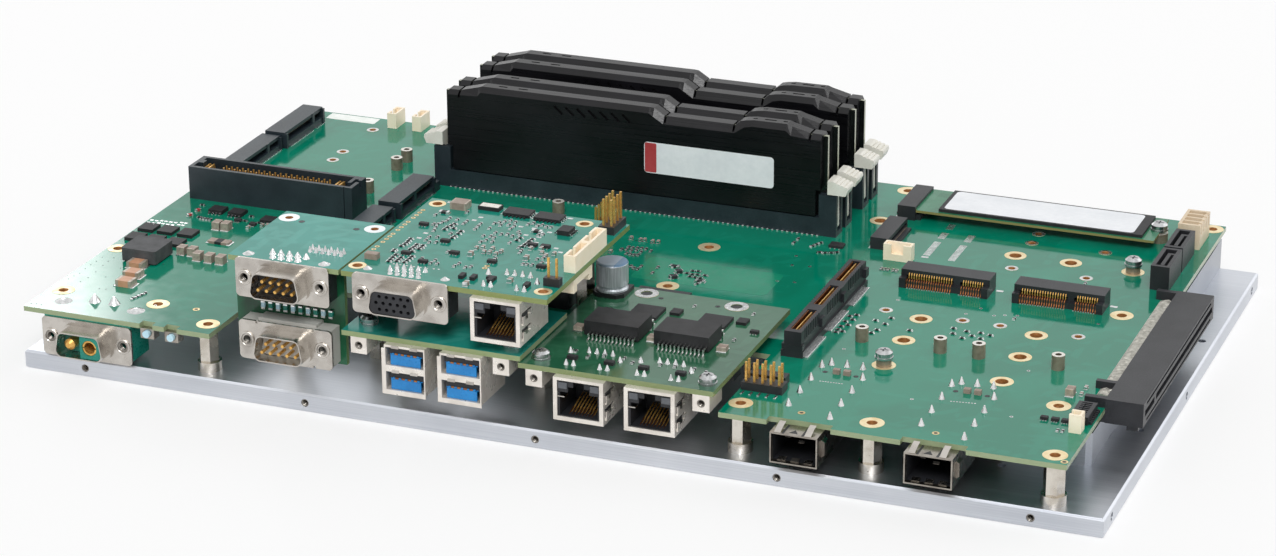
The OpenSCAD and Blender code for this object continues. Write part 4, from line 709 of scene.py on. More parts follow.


# Plated holes through the boards: a ring, and in it a black disc of painted shade for the hole; finish,
# outer and inner radius, level and places
cardRow = [16.6, 19, 21.4, 25.4, 28, 30.3, 32.6, 36.1, 38.6, 41.1, 43.5, 47.2, 49.6, 52, 54.3]
platedHoles = [
    ("paleGold", 0.75, 0.34, "card", [(110.8, y) for y in cardRow]),
    ("paleGold", 0.8, 0.38, "card", [(148, 18.4), (148, 16.6)]),
    ("paleGold", 1.1, 0.6, "board", [(250, 7.9), (290, 7.9), (51.1, 16.2), (329, 1.9)]),
    ("solderTin", 0.55, 0.3, "board", [
        (249.9, 99.4), (275.7, 101.9), (287.8, 100.1), (312.4, 102.4), (281.1, 97.6), (284.1, 99.1),
        (272.7, 96), (60.9, 83.6), (57.6, 96.7), (246.6, 56.7), (302.4, 60.2), (276.6, 28.3),
        (306.8, 26.4), (208.5, 123.6), (209.9, 115.6), (215.5, 116.4), (210, 101.1), (215.4, 102.1),
        (37.8, 14.5),
    ]),
]
# Bare holes, each drawn as a black disc of painted shade: level, radius and places
paintedShadeHoles = [
    ("board", 0.8, [(286.7, 38.3), (296.3, 38.2), (246.8, 38.4), (256.4, 38.3)]),
    ("board", 0.22, [
        (1.2, 2.5), (2.8, 2.8), (4.6, 2.6), (1.7, 24.5), (2, 27.4), (2.6, 30), (2.3, 34), (2.3, 37.6),
        (2.5, 40.9), (2.4, 44.7), (6.4, 23.8), (6.9, 27.7), (6.8, 32.8), (6.2, 38.4), (6, 42.2),
        (6.2, 45.5), (14.8, 20.7), (17, 21.1), (17.4, 25.4), (23.5, 46.2), (12.6, 38.2), (11.8, 30.1),
        (14.9, 46.8), (9.4, 52.3), (4.2, 52.8), (16.3, 54.2),
    ]),
    ("card", 1.0, [(80.3, 32.3), (98.7, 32.3)]),
    ("net", 0.8, [(186.5, 61.2), (204.9, 61.1)]),
]


def holeMarks():
    rings, paintedShade = {}, []
    for finish, outer, inner, level, spots in platedHoles:
        places = onLevel(spots, level)
        rings.setdefault(finish, []).append(scattered(washer(inner, outer, padThick, 16), places))
        # a black disc over the hole paints the shade inside it
        paintedShade.append(scattered(disc(inner + 0.02, 0.02, 12), places))
    for level, radius, spots in paintedShadeHoles:
        paintedShade.append(scattered(disc(radius, 0.03), onLevel(spots, level)))
    for finish, shapes in rings.items():
        makePiece("hole_rings_" + finish, finish, *shapes)
    # all the holes' black discs, painted shade, in one piece
    makePiece("hole_mouths_painted_shade", "blackNylonAndPaintedShade", *paintedShade)


def islands(node):
    # The separate solids of a node: each label spreads along the edges until it holds still
    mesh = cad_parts[node].data
    points = np.empty(len(mesh.vertices) * 3)
    mesh.vertices.foreach_get("co", points)
    points = np.round((points.reshape(-1, 3) - boardCorner) / mm, 3)
    points, which = np.unique(points, axis=0, return_inverse=True)
    ends = np.empty(len(mesh.edges) * 2, int)
    mesh.edges.foreach_get("vertices", ends)
    ends = which.reshape(-1)[ends].reshape(-1, 2)
    label = np.arange(len(points))
    while True:
        least = label[ends].min(axis=1)
        after = label.copy()
        np.minimum.at(after, ends[:, 0], least)
        np.minimum.at(after, ends[:, 1], least)
        after = after[after]
        if (after == label).all():
            break
        label = after
    return [points[label == k] for k in np.unique(label)]


ringLook = dict(
    wall=0.12,  # the wall's thickness
    gap=0.02,  # what parts the wall and the ring
    boardThick=1.6,
    smallRing=2.2,  # rings of a smaller outer radius are tinned
    netFrom=170,  # the network card lies right of this place
    tin=0.03,
    netHole=(0.1, 0.15),  # how far inside and under the ring the black disc of painted shade lies
)
rimLook = dict(inner=0.95, thick=0.05, ease=0.02, lowest=1.5, leastWide=3.4)
backSpacer = dict(place=(123.1, 132.5), inner=1.25, outer=2.0, high=4.2, ease=0.05)


def ringDress():
    # Brown plated walls in the drilled holes; small rings and those of the network card are tinned, and
    # under the network card's rings a black disc paints the shade down in the hole
    look = ringLook
    gap, deep = look["gap"], look["boardThick"]
    walls, tinned, paintedShade = [], [], []
    for points in islands("plated_rings"):
        low, high = points.min(axis=0), points.max(axis=0)
        x, y, _ = (low + high) / 2
        reach = np.hypot(points[:, 0] - x, points[:, 1] - y)
        inner, outer = reach.min(), reach.max()
        wall = washer(inner - gap - look["wall"], inner - gap, deep, 24)
        walls.append(shifted(wall, x, y, low[2] - deep))
        onNet = abs(low[2] - netTop) < 1 and x > look["netFrom"]
        if outer < look["smallRing"] or onNet:
            tinned.append(shifted(washer(inner, outer - gap, look["tin"], 28), x, y, high[2]))
        if onNet:
            inset, under = look["netHole"]
            # painted shade: a black disc down in the hole
            paintedShade.append(shifted(disc(inner - inset, 0.05, 20), x, y, low[2] - under))
    makePiece("hole_depths_painted_shade", "blackNylonAndPaintedShade", *paintedShade)
    makePiece("hole_walls", "platedBarrel", *walls)
    makePiece("tinned_rings", "solderTin", *tinned)


def spacerRims():
    # Turned rims on the brass spacers, made bright by a painted highlight: pale steel, mostly diffuse and
    # near white; and one more spacer behind the display card
    look, extra = rimLook, backSpacer
    thick = look["thick"]
    spacer = washer(extra["inner"], extra["outer"], extra["high"], 28, extra["ease"])
    makePiece("back_spacer", "tinnedBrass", shifted(spacer, *extra["place"]))
    spots = [(*extra["place"], extra["high"], extra["outer"])]
    for points in islands("drive_spacers"):
        low, high = points.min(axis=0), points.max(axis=0)
        if high[2] > look["lowest"] and high[0] - low[0] > look["leastWide"]:
            spots.append((*(low + high)[:2] / 2, high[2], (high[0] - low[0]) / 2))
    rims = []
    for x, y, z, outer in spots:
        rims.append(shifted(washer(look["inner"], outer - thick, thick, 24, look["ease"]), x, y, z))
    makePiece("spacer_rims", "rimSteelPaintedHighlight", *rims)


# Ends of the block capacitors: body size, the axis of the tinned ends, their length, and places
blockCaps = dict(
    tan=dict(size=(5.4, 4.2, 2.1), along="x", cap=1.0, spots=[(17, 41.2), (19.8, 33.6), (21.2, 26.4)]),
    row=dict(size=(2.6, 3.2, 2.7), along="y", cap=0.6, spots=[
        (25, 56.4), (28.7, 56.4), (32.2, 53.5), (36.4, 53.3), (40.4, 53.2), (25.1, 80.2), (28.2, 80.4),
    ]),
    right=dict(size=(2.4, 3.2, 2.4), along="y", cap=0.6, spots=[(fromRight(11.7), 47.4)]),
    net=dict(size=(2.8, 3.0, 1.5), along="y", cap=0.6, level="net", spots=[
        (172.7, 29.6), (196.1, 29.6), (218, 29.6),
    ]),
)
# Solder at their feet: deep, how far out its middle lies, how much wider than the body, and high
fillets = dict(
    x=dict(deep=1.0, out=0.2, more=0.3, high=0.3),
    y=dict(deep=0.8, out=0.1, more=0.2, high=0.35),
    ease=0.15,
)
shunt = dict(place=(31.6, 69.2), body=(2.3, 3.26, 0.84), fillet=(1.2, 3.6, 0.35, 0.2), half=3.7)


def capEnds():
    # Tin ends drawn just over the bodies' own, with a fillet of solder at each foot
    ends, skins, feet = [], [], []
    for name, look in blockCaps.items():
        wide, deep, high = look["size"]
        cap, solder = look["cap"], fillets[look["along"]]
        places = onLevel(look["spots"], look.get("level", "board"))
        if look["along"] == "x":
            end = block(cap, deep + 0.04, high + 0.02, 0.08)
            foot = block(solder["deep"], deep + solder["more"], solder["high"], fillets["ease"])
            step, half = np.array([1, 0, 0]), wide / 2
        else:
            end = block(wide + 0.04, cap, high + 0.02, 0.08)
            foot = block(wide + solder["more"], solder["deep"], solder["high"], fillets["ease"])
            step, half = np.array([0, 1, 0]), deep / 2
        ends += [scattered(shifted(end, *step * s * (half - cap / 2 + 0.02)), places) for s in (-1, 1)]
        feet += [scattered(shifted(foot, *step * s * (half + solder["out"])), places) for s in (-1, 1)]
        if name == "tan":
            skins.append(scattered(block(wide - 2 * cap + 0.1, deep + 0.03, high + 0.01, 0.05), places))
    x, y = shunt["place"]
    feet += [shifted(block(*shunt["fillet"]), x + s * shunt["half"], y) for s in (-1, 1)]
    makePiece("block_fillets", "solderTin", *feet)
    makePiece("block_ends", "firedTin", *ends)
    makePiece("tan_skins", "ceramicTan", *skins)
    makePiece("shunt_middle", "epoxyMould", shifted(block(*shunt["body"]), x, y))


# Threaded inserts of the card flanges at the flange's face, and threads in the tapped holes
flangeLook = dict(pitch=25.0, face=-0.8, outer=2.5, inner=1.25, wall=0.5, rim=(0.45, 28, 0.15))
threadLook = dict(pitch=0.5, turn=(0.22, 24, 0.1), turns=4)
holeThread = dict(inner=0.9, outer=1.24, start=0.35, turn=(0.25, 24, 0.1), turns=8, platePitch=75)
flanges = [(22, -8.15), (89.8, 20.75), (89.8, 0.75), (128.3, 21.15)]


def screwInserts():
    look, cut, hole = flangeLook, threadLook, holeThread
    inner = look["inner"]
    spots = [(x + s * look["pitch"] / 2, look["face"], z) for x, z in flanges for s in (-1, 1)]
    rim = tilted(washer(inner + look["wall"], look["outer"], *look["rim"]), "x", 90)
    turn = tilted(washer(inner - 0.1, inner + look["wall"], *cut["turn"]), "x", 90)
    thread = joined(*[shifted(turn, y=0.1 + cut["pitch"] * k) for k in range(cut["turns"])])
    plateLow, plateHigh = [(np.array(c) - boardCorner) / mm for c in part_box("base_plate")]
    x, _, z = (plateLow + plateHigh) / 2
    mouths = [(x + hole["platePitch"] * k, plateLow[1], z) for k in range(-2, 3)]
    for points in islands("threaded_blocks"):
        x, _, z = (points.min(axis=0) + points.max(axis=0)) / 2
        mouths.append((x, points[:, 1].min(), z))
    turn = washer(hole["inner"], hole["outer"], *hole["turn"])
    turns = [shifted(turn, z=-hole["start"] - cut["pitch"] * k) for k in range(hole["turns"])]
    makePiece("insert_rims", "tinPlate", scattered(rim, spots))
    threads = [scattered(thread, spots), scattered(tilted(joined(*turns), "x", 90), mouths)]
    makePiece("insert_threads", "threadSteel", *threads)


riserLook = dict(
    x=80,
    y=5.55,
    pitch=2.5,
    count=10,
    body=(1.24, 0.95, 1.5),
    end=(1.26, 0.97),
    lows=(8.6, 10.7),
    highs=(0.6, 0.5),
)
tailLook = dict(
    seed=7, x=(325.5, 329.9, 6), y=(50, 127.8, 0.45), least=0.25, more=0.5, rim=0.05, low=-0.02
)
lidLook = dict(place=(129.9, 62.6), size=(6.2, 2.9, 0.06), high=1.2)
inductorLook = dict(place=(120.8, 60.4), end=(0.6, 4.44, 2.24, 0.1), reach=2.35, skin=(4.2, 4.42, 2.22))


def riserParts():
    # Small parts on the upright card, in blue and green by turns, with tinned ends
    look = riserLook
    ends = [shifted(block(*look["end"], h), z=z) for z, h in zip(look["lows"], look["highs"])]
    body = shifted(block(*look["body"]), z=look["lows"][0] + look["highs"][0])
    spots = [(look["x"] + look["pitch"] * k, look["y"], 0) for k in range(look["count"])]
    makePiece("riser_blue", "paleBlueNylon", scattered(body, spots[::2]))
    makePiece("riser_green", "greenPbt", scattered(body, spots[1::2]))
    makePiece("riser_ends", "solderTin", scattered(joined(*ends), spots))


def tailBand():
    # The edge slot's soldered tails: a narrow crumpled band, its heights from seeded noise
    look = tailLook
    dice = np.random.default_rng(look["seed"])
    y = np.arange(*look["y"])
    x = np.linspace(*look["x"])
    high = look["least"] + look["more"] * dice.random((len(y), len(x)))
    high[:, [0, -1]] = look["rim"]
    top = np.stack(np.broadcast_arrays(x[None, :], y[:, None], high), axis=-1)
    low = top[:, ::-1].copy()
    low[..., 2] = look["low"]
    makePiece("slot_tails", "tailTin", gridShape(np.concatenate([top, low], axis=1)))


def chipLids():
    # Metal lid of the oscillator, and the skin and tinned ends of the inductor on the display card
    lid = shifted(block(*lidLook["size"]), *lidLook["place"], cardTop + lidLook["high"])
    # the lid is of the same near-white, mostly diffuse steel: pale steel with a painted highlight
    makePiece("oscillator_lid", "rimSteelPaintedHighlight", lid)
    look = inductorLook
    x, y = look["place"]
    ends = [shifted(block(*look["end"]), x + s * look["reach"], y, cardTop) for s in (-1, 1)]
    makePiece("inductor_ends", "firedTin", *ends)
    makePiece("inductor_skin", "ceramicGrey", shifted(block(*look["skin"]), x, y, cardTop))


solderSmallParts()
chipLids()
ringDress()
spacerRims()
capEnds()
screwInserts()
riserParts()
tailBand()
solderCases()
tinPads()
holeMarks()
print("small parts soldered")

# Tin feet of sockets: rows along y as x, first y, last y; shapes as wide, deep, high and eased edge
memoryX = fromRight(185.6)
memoryY = [fromBack(51.0), fromBack(41.1), fromBack(23.5), fromBack(13.6)]
slotX = [fromRight(83.3), fromRight(47)]
feetLook = dict(
    memoryHalf=64.5,
    memoryEdge=3.4,
    memoryPitch=1.7,
    memoryFoot=(0.7, 1.2, 0.4, 0.08),
    foot=(0.42, 0.9, 0.22, 0.05),
    sideFoot=(0.9, 0.42, 0.22, 0.05),
    comb=(1.5, 0.56, 0.45, 0.1),
    pinFoot=(0.7, 2.4, 0.3, 0.1),
    fine=[(230.8, 47, 106), (228.1, 138.5, 158), (227.9, 167, 187)],
    combs=[(238.1, 46.2, 62.8), (238.1, 68.1, 84.7), (238.1, 89.7, 105.1)],
    coarse=[
        (77.4, 109.5, 120), (77.4, 122.4, 135.4), (11.7, 160, 177), (11.7, 180, 186), (10.3, 128, 155),
        (76.6, 79, 97), (76.6, 99.8, 106),
    ],
    slots=[(1.9, 16.3), (19.4, 26.6)],
    slotY=110.1,
    slotPitch=0.8,
    rows=[("sideFoot", "fine", 0.8), ("comb", "combs", 0.7), ("sideFoot", "coarse", 1.0)],
    pins=[(229.3 + 2.54 * k, 15.4, 0) for k in range(5)],
)
leadLook = dict(foot=(0.44, 1.06, 0.2, 0.03), upright=(0.44, 0.4, 0.58, 0.03), back=0.32, out=0.5)
chipRows = [
    # level, turn in degrees, depth over both rows, leads in a row, pitch and places
    ("board", 0, 4.6, 4, 1.27, [(18, 94.3), (25.1, 94.3)]),
    ("net", 0, 9, 10, 0.8, [(186.9, 48.3), (208.6, 48.3)]),
    ("card", 90, 8.6, 4, 1.27, [(139.8, 61.6), (150.2, 61.2)]),
    ("card", 90, 3.9, 4, 1.27, [(159.4, 51.9)]),
]
contactLook = dict(
    lowerStrip=(0.24, 0.12),
    upperStrip=(0.26, 0.12),
    lowerY=110.3,
    upperY=111.6,
    lower=[(-0.7, 0.16), (-0.1, 0.3), (0.3, 1.1), (0.36, 2.0), (0.9, 2.4), (2.2, 2.8)],
    upper=[(0.1, 2.5), (0.15, 3.6), (0.5, 4.2), (0.62, 4.3)],
    pitch=0.8,
    slots=[(2.3, 16.3), (19.8, 26.2)],
    blade=(0.3, 0.5, 5.2),
    bladeX=(233.08, 235.55),
    wells=[(47.9, 63), (68.7, 83.7), (89.3, 105.3)],
    bladeZ=2.9,
    drive=(0.5, 0.26),
    driveY=(139.6, 157.2),
    drivePitch=0.5,
    driveRows=[(233.9, 2.75, 0.5), (234.3, 0.9, 0.4)],
    bar=(2.6, 0.36, 0.12),
    edgeRows=[
        # x, first and last y, and z
        (74.9, 110.6, 120.6, 3.85),
        (74.9, 122.6, 134.6, 3.85),
        (9.1, 159.8, 178, 3.85),
        (73.9, 80, 98, 3.05),
    ],
)


def rowAlong(x, first, last, z, pitch):
    # Evenly spaced places along y from first to last
    y = np.linspace(first, last, int(round((last - first) / pitch)) + 1)
    return np.stack(np.broadcast_arrays(x, y, z), axis=-1)


def rowAcross(first, last, y, z, pitch):
    # The same along x
    return rowAlong(y, first, last, z, pitch)[:, [1, 0, 2]]


def socketFeet():
    look = feetLook
    shapes = []
    reach = look["memoryHalf"]
    for y in memoryY:
        for edge in (y - look["memoryEdge"], y + look["memoryEdge"]):
            places = rowAcross(memoryX - reach, memoryX + reach, edge, 0, look["memoryPitch"])
            shapes.append(scattered(block(*look["memoryFoot"]), places))
    for foot, rows, pitch in look["rows"]:
        for x, first, last in look[rows]:
            shapes.append(scattered(block(*look[foot]), rowAlong(x, first, last, 0, pitch)))
    for x in slotX:
        for first, last in look["slots"]:
            places = rowAcross(x + first, x + last, look["slotY"], 0, look["slotPitch"])
            shapes.append(scattered(block(*look["foot"]), places))
    shapes.append(scattered(block(*look["pinFoot"]), look["pins"]))
    makePiece("socket_feet", "solderTin", *shapes)


def chipLeads():
    # Bent leads over the chips' own dark ones: a flat foot and an upright end, in two facing rows
    look = leadLook
    shapes = []
    lead = joined(block(*look["foot"]), shifted(block(*look["upright"]), y=look["back"]))
    for level, turn, deep, count, pitch, spots in chipRows:
        x = pitch * (count - 1) / 2
        front = scattered(lead, rowAcross(-x, x, -deep / 2 - look["out"], 0, pitch))
        both = joined(front, tilted(front, "z", 180))
        shapes.append(scattered(both, onLevel(spots, level), turn))
    makePiece("chip_leads", "solderTin", *shapes)


def socketContacts():
    # Bent strips in the mini card slots, blades in the long connector's wells, bars in the edge sockets
    look = contactLook
    pitch = look["pitch"]
    gilt, walls, dull = [], [], []
    lower = tilted(strip(look["lower"], *look["lowerStrip"]), "z", 90)
    upper = tilted(strip(look["upper"], *look["upperStrip"]), "z", 90)
    for x in slotX:
        for first, last in look["slots"]:
            walls.append(scattered(lower, rowAcross(x + first, x + last, look["lowerY"], 0, pitch)))
            places = rowAcross(x + first + 0.4, x + last + 0.1, look["upperY"], 0, pitch)
            gilt.append(scattered(upper, places))
    for x in look["bladeX"]:
        for first, last in look["wells"]:
            walls.append(scattered(block(*look["blade"]), rowAlong(x, first, last, look["bladeZ"], pitch)))
    for x, z, high in look["driveRows"]:
        places = rowAlong(x, *look["driveY"], z, look["drivePitch"])
        dull.append(scattered(block(*look["drive"], high), places))
    for x, first, last, z in look["edgeRows"]:
        dull.append(scattered(block(*look["bar"]), rowAlong(x, first, last, z, pitch)))
    makePiece("socket_contacts", "goldPlate", *gilt)
    makePiece("well_contacts", "copperWire", *walls)
    makePiece("dull_contacts", "tinnedBrass", *dull)


socketFeet()
chipLeads()
socketContacts()
print("feet and contacts placed")

# Bare labels: a film with round corners, its text left out
labels = dict(
    spreader=dict(x=(149.3, 194.0), z=(14.2, 24.8), corner=1.2, redTo=153.6, face=-3.5),
    drive=dict(x=(243.4, 306.4), y=(168.7, 185.5), corner=1.4, top=4.82),
    cases=dict(x=(242.0, 309.4), y=177.1, deep=18.5, low=3.8, high=1.04),
    board=dict(x=(10, 28.7), y=(191, 196.5), corner=0.6),
    clear=dict(x=(165.5, 210.5), y=(88, 107), corner=2.0, thick=0.03),
)


def film(x, y, corner, thick=0.07):
    # A thin plate between two places in x and two in y
    flat = carried(outline(x[1] - x[0], y[1] - y[0], corner, 6), [(0, 0), (thick, 0)])
    return shifted(flat, (x[0] + x[1]) / 2, (y[0] + y[1]) / 2)


def stickLabels():
    look = labels["spreader"]
    face = memoryY[0] + look["face"]
    rim = 0.25  # the red field ends this far inside the white one
    upright = tilted(film(look["x"], look["z"], look["corner"]), "x", 90)
    makePiece("spreader_label", "whiteFilm", shifted(upright, y=face))
    redZ = (look["z"][0] + rim, look["z"][1] - rim)
    red = tilted(film((look["x"][0] + rim, look["redTo"]), redZ, 0.5, 0.1), "x", 90)
    makePiece("spreader_label_field", "redFilm", shifted(red, y=face))
    look = labels["cases"]
    start, end = look["x"]
    case = block(end - start, look["deep"], look["high"], 0.05)
    makePiece("drive_cases", "epoxyMould", shifted(case, (start + end) / 2, look["y"], look["low"]))
    look = labels["drive"]
    onDrive = shifted(film(look["x"], look["y"], look["corner"]), z=look["top"])
    makePiece("drive_label", "whiteFilm", onDrive)
    makePiece("board_label", "whiteLiquidMark", film(**labels["board"]))
    makePiece("clear_label", "clearFilm", film(**labels["clear"]))


stickLabels()
print("labels stuck")

# Front openings: springs, contacts and light pipes inside the jacks, cages and double sockets, and black
# pieces that paint the shade within them
jackLook = dict(
    places=[(159.35, cardTop - 1.6), (185.15, netTop - 1.6), (207.25, netTop - 1.6)],
    mouth=-2.4,
    contacts=8,
    pitch=1.02,
    wireStart=1.6,
    wire=[(0.3, -11.8), (1.0, -11.7), (3.6, -10.8)],
    wireSize=(0.28, 0.2),
    stop=(2.4, 2.2, 0.3),
    stopAt=(-5.6, 1.4, -6.2),
    pipe=(2.7, 0.5, 1.9, 0.1),
    pipeAt=(5, 0.5, -3.5),
    side=7.88,
    windows=(-6.6, -11.2),
    window=(0.06, 4.4, 2.6),
    windowStart=3.6,
    leaf=[(-1.8, 0), (-0.6, 0.25), (1.6, 0.5)],
    leafSize=(1.3, 0.15),
    leafAt=(3.4, 1.3),
)
usbLook = dict(
    places=[(129.85, 6.4), (147.85, 6.4)],
    bays=(-14.3, -6.5),
    tongue=(9.6, 0.6, 3.1),
    pitch=2.0,
    front=-1.2,
    contact=(1.0, 0.5, 0.6),
    tooth=(0.7, 0.6, 0.6),
    leaf=(2.4, 0.25, 0.9, 0.1),
    leafAt=(3, -2.3, 5.6),
    gap=(11.0, 0.1, 2.2),
    gapAt=(-1.07, 3.5),
)
cageLook = dict(
    middles=[fromRight(78.45), fromRight(38.65)],
    top=-1.6,
    low=-10.6,
    wide=13.3,
    long=46,
    high=8.5,
    middle=20.4,
    back=43.9,
    thin=0.05,
    side=6.67,
    roof=[(0.1, 0.1), (0.9, 0.45), (3.4, 1.2), (5.4, 1.5)],
    roofSize=(1.9, 0.2),
    floor=(2.4, 1.6, 0.15),
    floorTilt=20,
    inner=(1.8, 0.9, 0.12),
    innerTilt=35,
    roofTongues=[(-4.9, -4.3, -1.6), (4.2, -4.3, -1.6)],
    floorTongues=[(-4, -2.2, -10.3), (0, -2.2, -10.3), (4, -2.2, -10.3)],
    innerTongues=[(-2.4, -1.4, -3.4), (1.6, -1.4, -4.7)],
    mark=(-0.4, -2.4),  # the triangular hole in the roof, drawn as a black triangle of painted shade
    # slots in the roof, drawn as thin black strips of painted shade
    slot=(0.7, 6.2, 0.04),
    slots=[(-3.3, -1.1, -1.6), (2.6, -1.1, -1.6)],
)
openingPieces = dict(
    # black pieces that paint the shade in side windows, gaps over tongues, roof holes and cage insides
    paintedShade=("painted_shade_gaps", "blackNylonAndPaintedShade"),
    contacts=("jack_contacts", "copperWire"),
    tongues=("tongue_fronts", "bluePbt"),
    pipes=("light_pipes", "greyLcp"),
    springs=("shell_springs", "tinPlate"),
)


def jackParts(parts):
    # Each jack: bent contacts, two light pipes, and leaf springs before black sheets in the windows of its
    # sides, which are painted shade for the jack's inside
    look = jackLook
    mouth = look["mouth"]
    wire = tilted(strip(look["wire"], *look["wireSize"]), "z", 90)
    leaf = tilted(strip(look["leaf"], *look["leafSize"]), "z", 90)
    across = look["pitch"] * (np.arange(look["contacts"]) - (look["contacts"] - 1) / 2)
    for x, z in look["places"]:
        start = mouth + look["wireStart"]
        parts["contacts"].append(scattered(wire, [(x + dx, start, z) for dx in across]))
        dx, dy, dz = look["stopAt"]
        parts["springs"].append(shifted(block(*look["stop"]), x + dx, mouth + dy, z + dz))
        for s in (-1, 1):
            dx, dy, dz = look["pipeAt"]
            parts["pipes"].append(shifted(block(*look["pipe"]), x + s * dx, mouth + dy, z + dz))
            side = x + s * look["side"]
            for low in look["windows"]:
                window, start = block(*look["window"]), mouth + look["windowStart"]
                # a black sheet in the side window: painted shade of the jack's inside
                parts["paintedShade"].append(shifted(window, side - s * 0.01, start, z + low))
                spring = tilted(leaf, "y", 90 * s)
                dy, dz = look["leafAt"]
                parts["springs"].append(shifted(spring, side, mouth + dy, z + low + dz))


def usbParts(parts):
    # Each bay: a low blue tongue with contacts between its teeth, a black sheet over it as painted shade
    # in the recess, and two leaf springs
    look = usbLook
    front, pitch = look["front"], look["pitch"]
    for x, z in look["places"]:
        for bay in look["bays"]:
            low = z + bay
            edge = low + look["tongue"][2]
            spots = [(x + pitch * (k - 1.5), front + 0.1, edge) for k in range(4)]
            teeth = [(x + pitch * (k - 2), front, edge) for k in range(5)]
            parts["tongues"].append(shifted(block(*look["tongue"]), x, front, low + 0.1))
            parts["tongues"].append(scattered(block(*look["tooth"]), teeth))
            parts["contacts"].append(scattered(block(*look["contact"]), spots))
            gapY, gapZ = look["gapAt"]
            # painted shade: a black sheet in the recess over the tongue
            parts["paintedShade"].append(shifted(block(*look["gap"]), x, gapY, low + gapZ))
            dx, y, dz = look["leafAt"]
            leaves = [(x + s * dx, y, low + dz) for s in (-1, 1)]
            parts["springs"].append(scattered(block(*look["leaf"]), leaves))


def cageParts(parts):
    # Each cage: tongues on its roof and floor, black strips for the slots beside them, and black linings
    # of its inner faces; strips, linings and the roof's triangle are painted shade
    look = cageLook
    top, low, middle, thin = look["top"], look["low"], look["middle"], look["thin"]
    wide, long, high = look["wide"], look["long"], look["high"]
    tongues = dict(
        roofTongues=tilted(strip(look["roof"], *look["roofSize"]), "z", 90),
        floorTongues=tilted(block(*look["floor"]), "x", look["floorTilt"]),
        innerTongues=tilted(block(*look["inner"]), "x", look["innerTilt"]),
    )
    triangle = tilted(disc(1.5, 0.05, 3), "z", 90)
    for x in look["middles"]:
        for kind, shape in tongues.items():
            parts["springs"].append(scattered(shape, np.array(look[kind]) + [x, 0, 0]))
        ends = [(x, middle, low - 0.02), (x, middle, low + high)]
        sides = [(x + s * look["side"], middle, low) for s in (-1, 1)]
        # painted shade: black sheets for the roof's holes and the cage's shaded inner faces
        parts["paintedShade"] += [
            shifted(triangle, x + look["mark"][0], look["mark"][1], top),
            scattered(block(*look["slot"]), np.array(look["slots"]) + [x, 0, 0]),
            scattered(block(wide, long, thin), ends),
            scattered(block(thin, long, high), sides),
            shifted(block(wide, thin, high), x, look["back"], low),
        ]


def frontOpenings():
    parts = {kind: [] for kind in openingPieces}
    for fit in (jackParts, usbParts, cageParts):
        fit(parts)
    for kind, (name, finish) in openingPieces.items():
        makePiece(name, finish, *parts[kind])


frontOpenings()
print("front openings fitted")

# Camera, light and floor
shot = dict(place=(0.38148, -0.98260, 0.43893), turn=(68.238, 0.273, 21.364), lens=101.756)
light = dict(
    worldSeen=1.0,
    worldLight=0.5,
    suns=[
        # name, turn in degrees, power and the angle it spreads over
        ("keyLamp", (42, -8, 28), 1.9, 25),
        ("fillLamp", (58, 12, 130), 0.5, 60),
    ],
    boxPlace=(-1.607, 1.99, 1.0),
    boxSize=(0.5, 0.5),
    boxFade=0.16,
    boxPower=4.8,
    floor="#f4f4f4",
    floorShown=0.55,
    floorReach=4.0,
)


def placed(name, data, place=(0, 0, 0), turn=(0, 0, 0)):
    # A camera or lamp in the scene, turned by degrees
    holder = bpy.data.objects.new(name, data)
    holder.location = place
    holder.rotation_euler = [math.radians(a) for a in turn]
    bpy.context.scene.collection.objects.link(holder)
    return holder


def makeCamera():
    lens = bpy.data.cameras.new("photoLens")
    lens.lens = shot["lens"]
    lens.sensor_width = 36
    lens.clip_end = 20
    bpy.context.scene.camera = placed("photoCamera", lens, shot["place"], shot["turn"])


def seenDirectly(node):
    # One for camera, mirrored and transmitted rays, zero for the diffuse ones that carry light
    seen = addNode(node, "ShaderNodeLightPath")
    direct = combined("MAXIMUM", seen.outputs["Is Camera Ray"], seen.outputs["Is Glossy Ray"])
    return combined("MAXIMUM", direct, seen.outputs["Is Transmission Ray"])


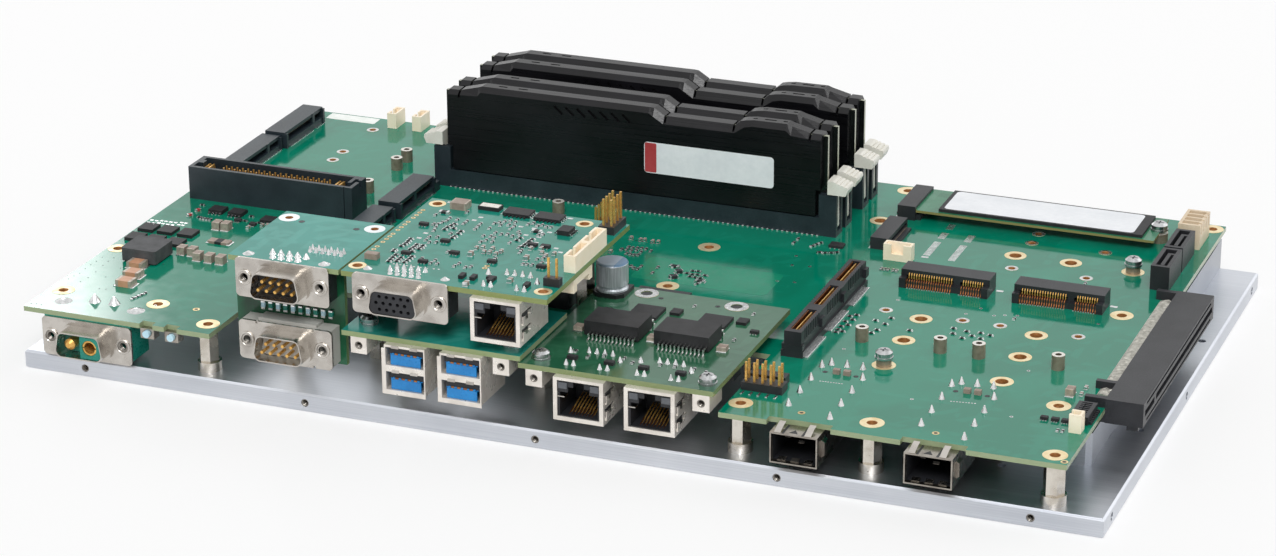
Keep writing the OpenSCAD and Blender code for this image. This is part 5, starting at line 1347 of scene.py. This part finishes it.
def makeLight():
    # A broad key from above the camera, a weak fill from behind on the right, and an even world
    for name, turn, power, spread in light["suns"]:
        sun = bpy.data.lights.new(name, "SUN")
        sun.energy = power
        sun.angle = math.radians(spread)
        placed(name, sun, turn=turn)
    # A soft box behind on the left: the glossy boards mirror it, and it fades towards its side edges
    panel = bpy.data.lights.new("softBox", "AREA")
    panel.shape = "RECTANGLE"
    panel.size, panel.size_y = light["boxSize"]
    panel.energy = light["boxPower"]
    panel.use_nodes = True
    glow = panel.node_tree.nodes["Emission"]
    spot = addNode(glow, "ShaderNodeNewGeometry").outputs["Parametric"]
    across = addNode(glow, "ShaderNodeSeparateXYZ", {"Vector": spot}).outputs["X"]
    inward = combined("MINIMUM", across, combined("SUBTRACT", 1.0, across))
    linked(between(inward, 0.0, light["boxFade"]), glow, "Strength")
    lamp = placed("softBox", panel, light["boxPlace"])
    lamp.rotation_euler = (-lamp.location).to_track_quat("-Z", "Y").to_euler()
    world = bpy.data.worlds.new("studio")
    world.use_nodes = True
    ground = world.node_tree.nodes["Background"]
    ground.inputs["Color"].default_value = (1, 1, 1, 1)
    strength = between(seenDirectly(ground), 0, 1, light["worldLight"], light["worldSeen"])
    linked(strength, ground, "Strength")
    bpy.context.scene.world = world


def makeFloor():
    # Pale matt floor: seen directly it is mixed with plain white, so the object's shadow stays faint
    material, shader, _ = startMaterial("paleFloor", light["floor"], 0.9, specular=0.1)
    white = addNode(shader, "ShaderNodeEmission", {"Color": (1, 1, 1, 1), "Strength": 1.0})
    share = combined("MULTIPLY", seenDirectly(shader), light["floorShown"])
    both = addNode(shader, "ShaderNodeMixShader", {0: share, 1: shader.outputs[0], 2: white.outputs[0]})
    linked(both.outputs[0], material.node_tree.nodes["Material Output"], "Surface")
    mesh = bpy.data.meshes.new("floor")
    reach = light["floorReach"]
    corners = [(-reach, -reach, 0), (reach, -reach, 0), (reach, reach, 0), (-reach, reach, 0)]
    mesh.from_pydata(corners, [], [(0, 1, 2, 3)])
    mesh.materials.append(material)
    floor = bpy.data.objects.new("floor", mesh)
    bpy.context.scene.collection.objects.link(floor)


makeCamera()
makeLight()
makeFloor()
bpy.context.scene.view_settings.view_transform = "Standard"
print("camera, light and floor set")
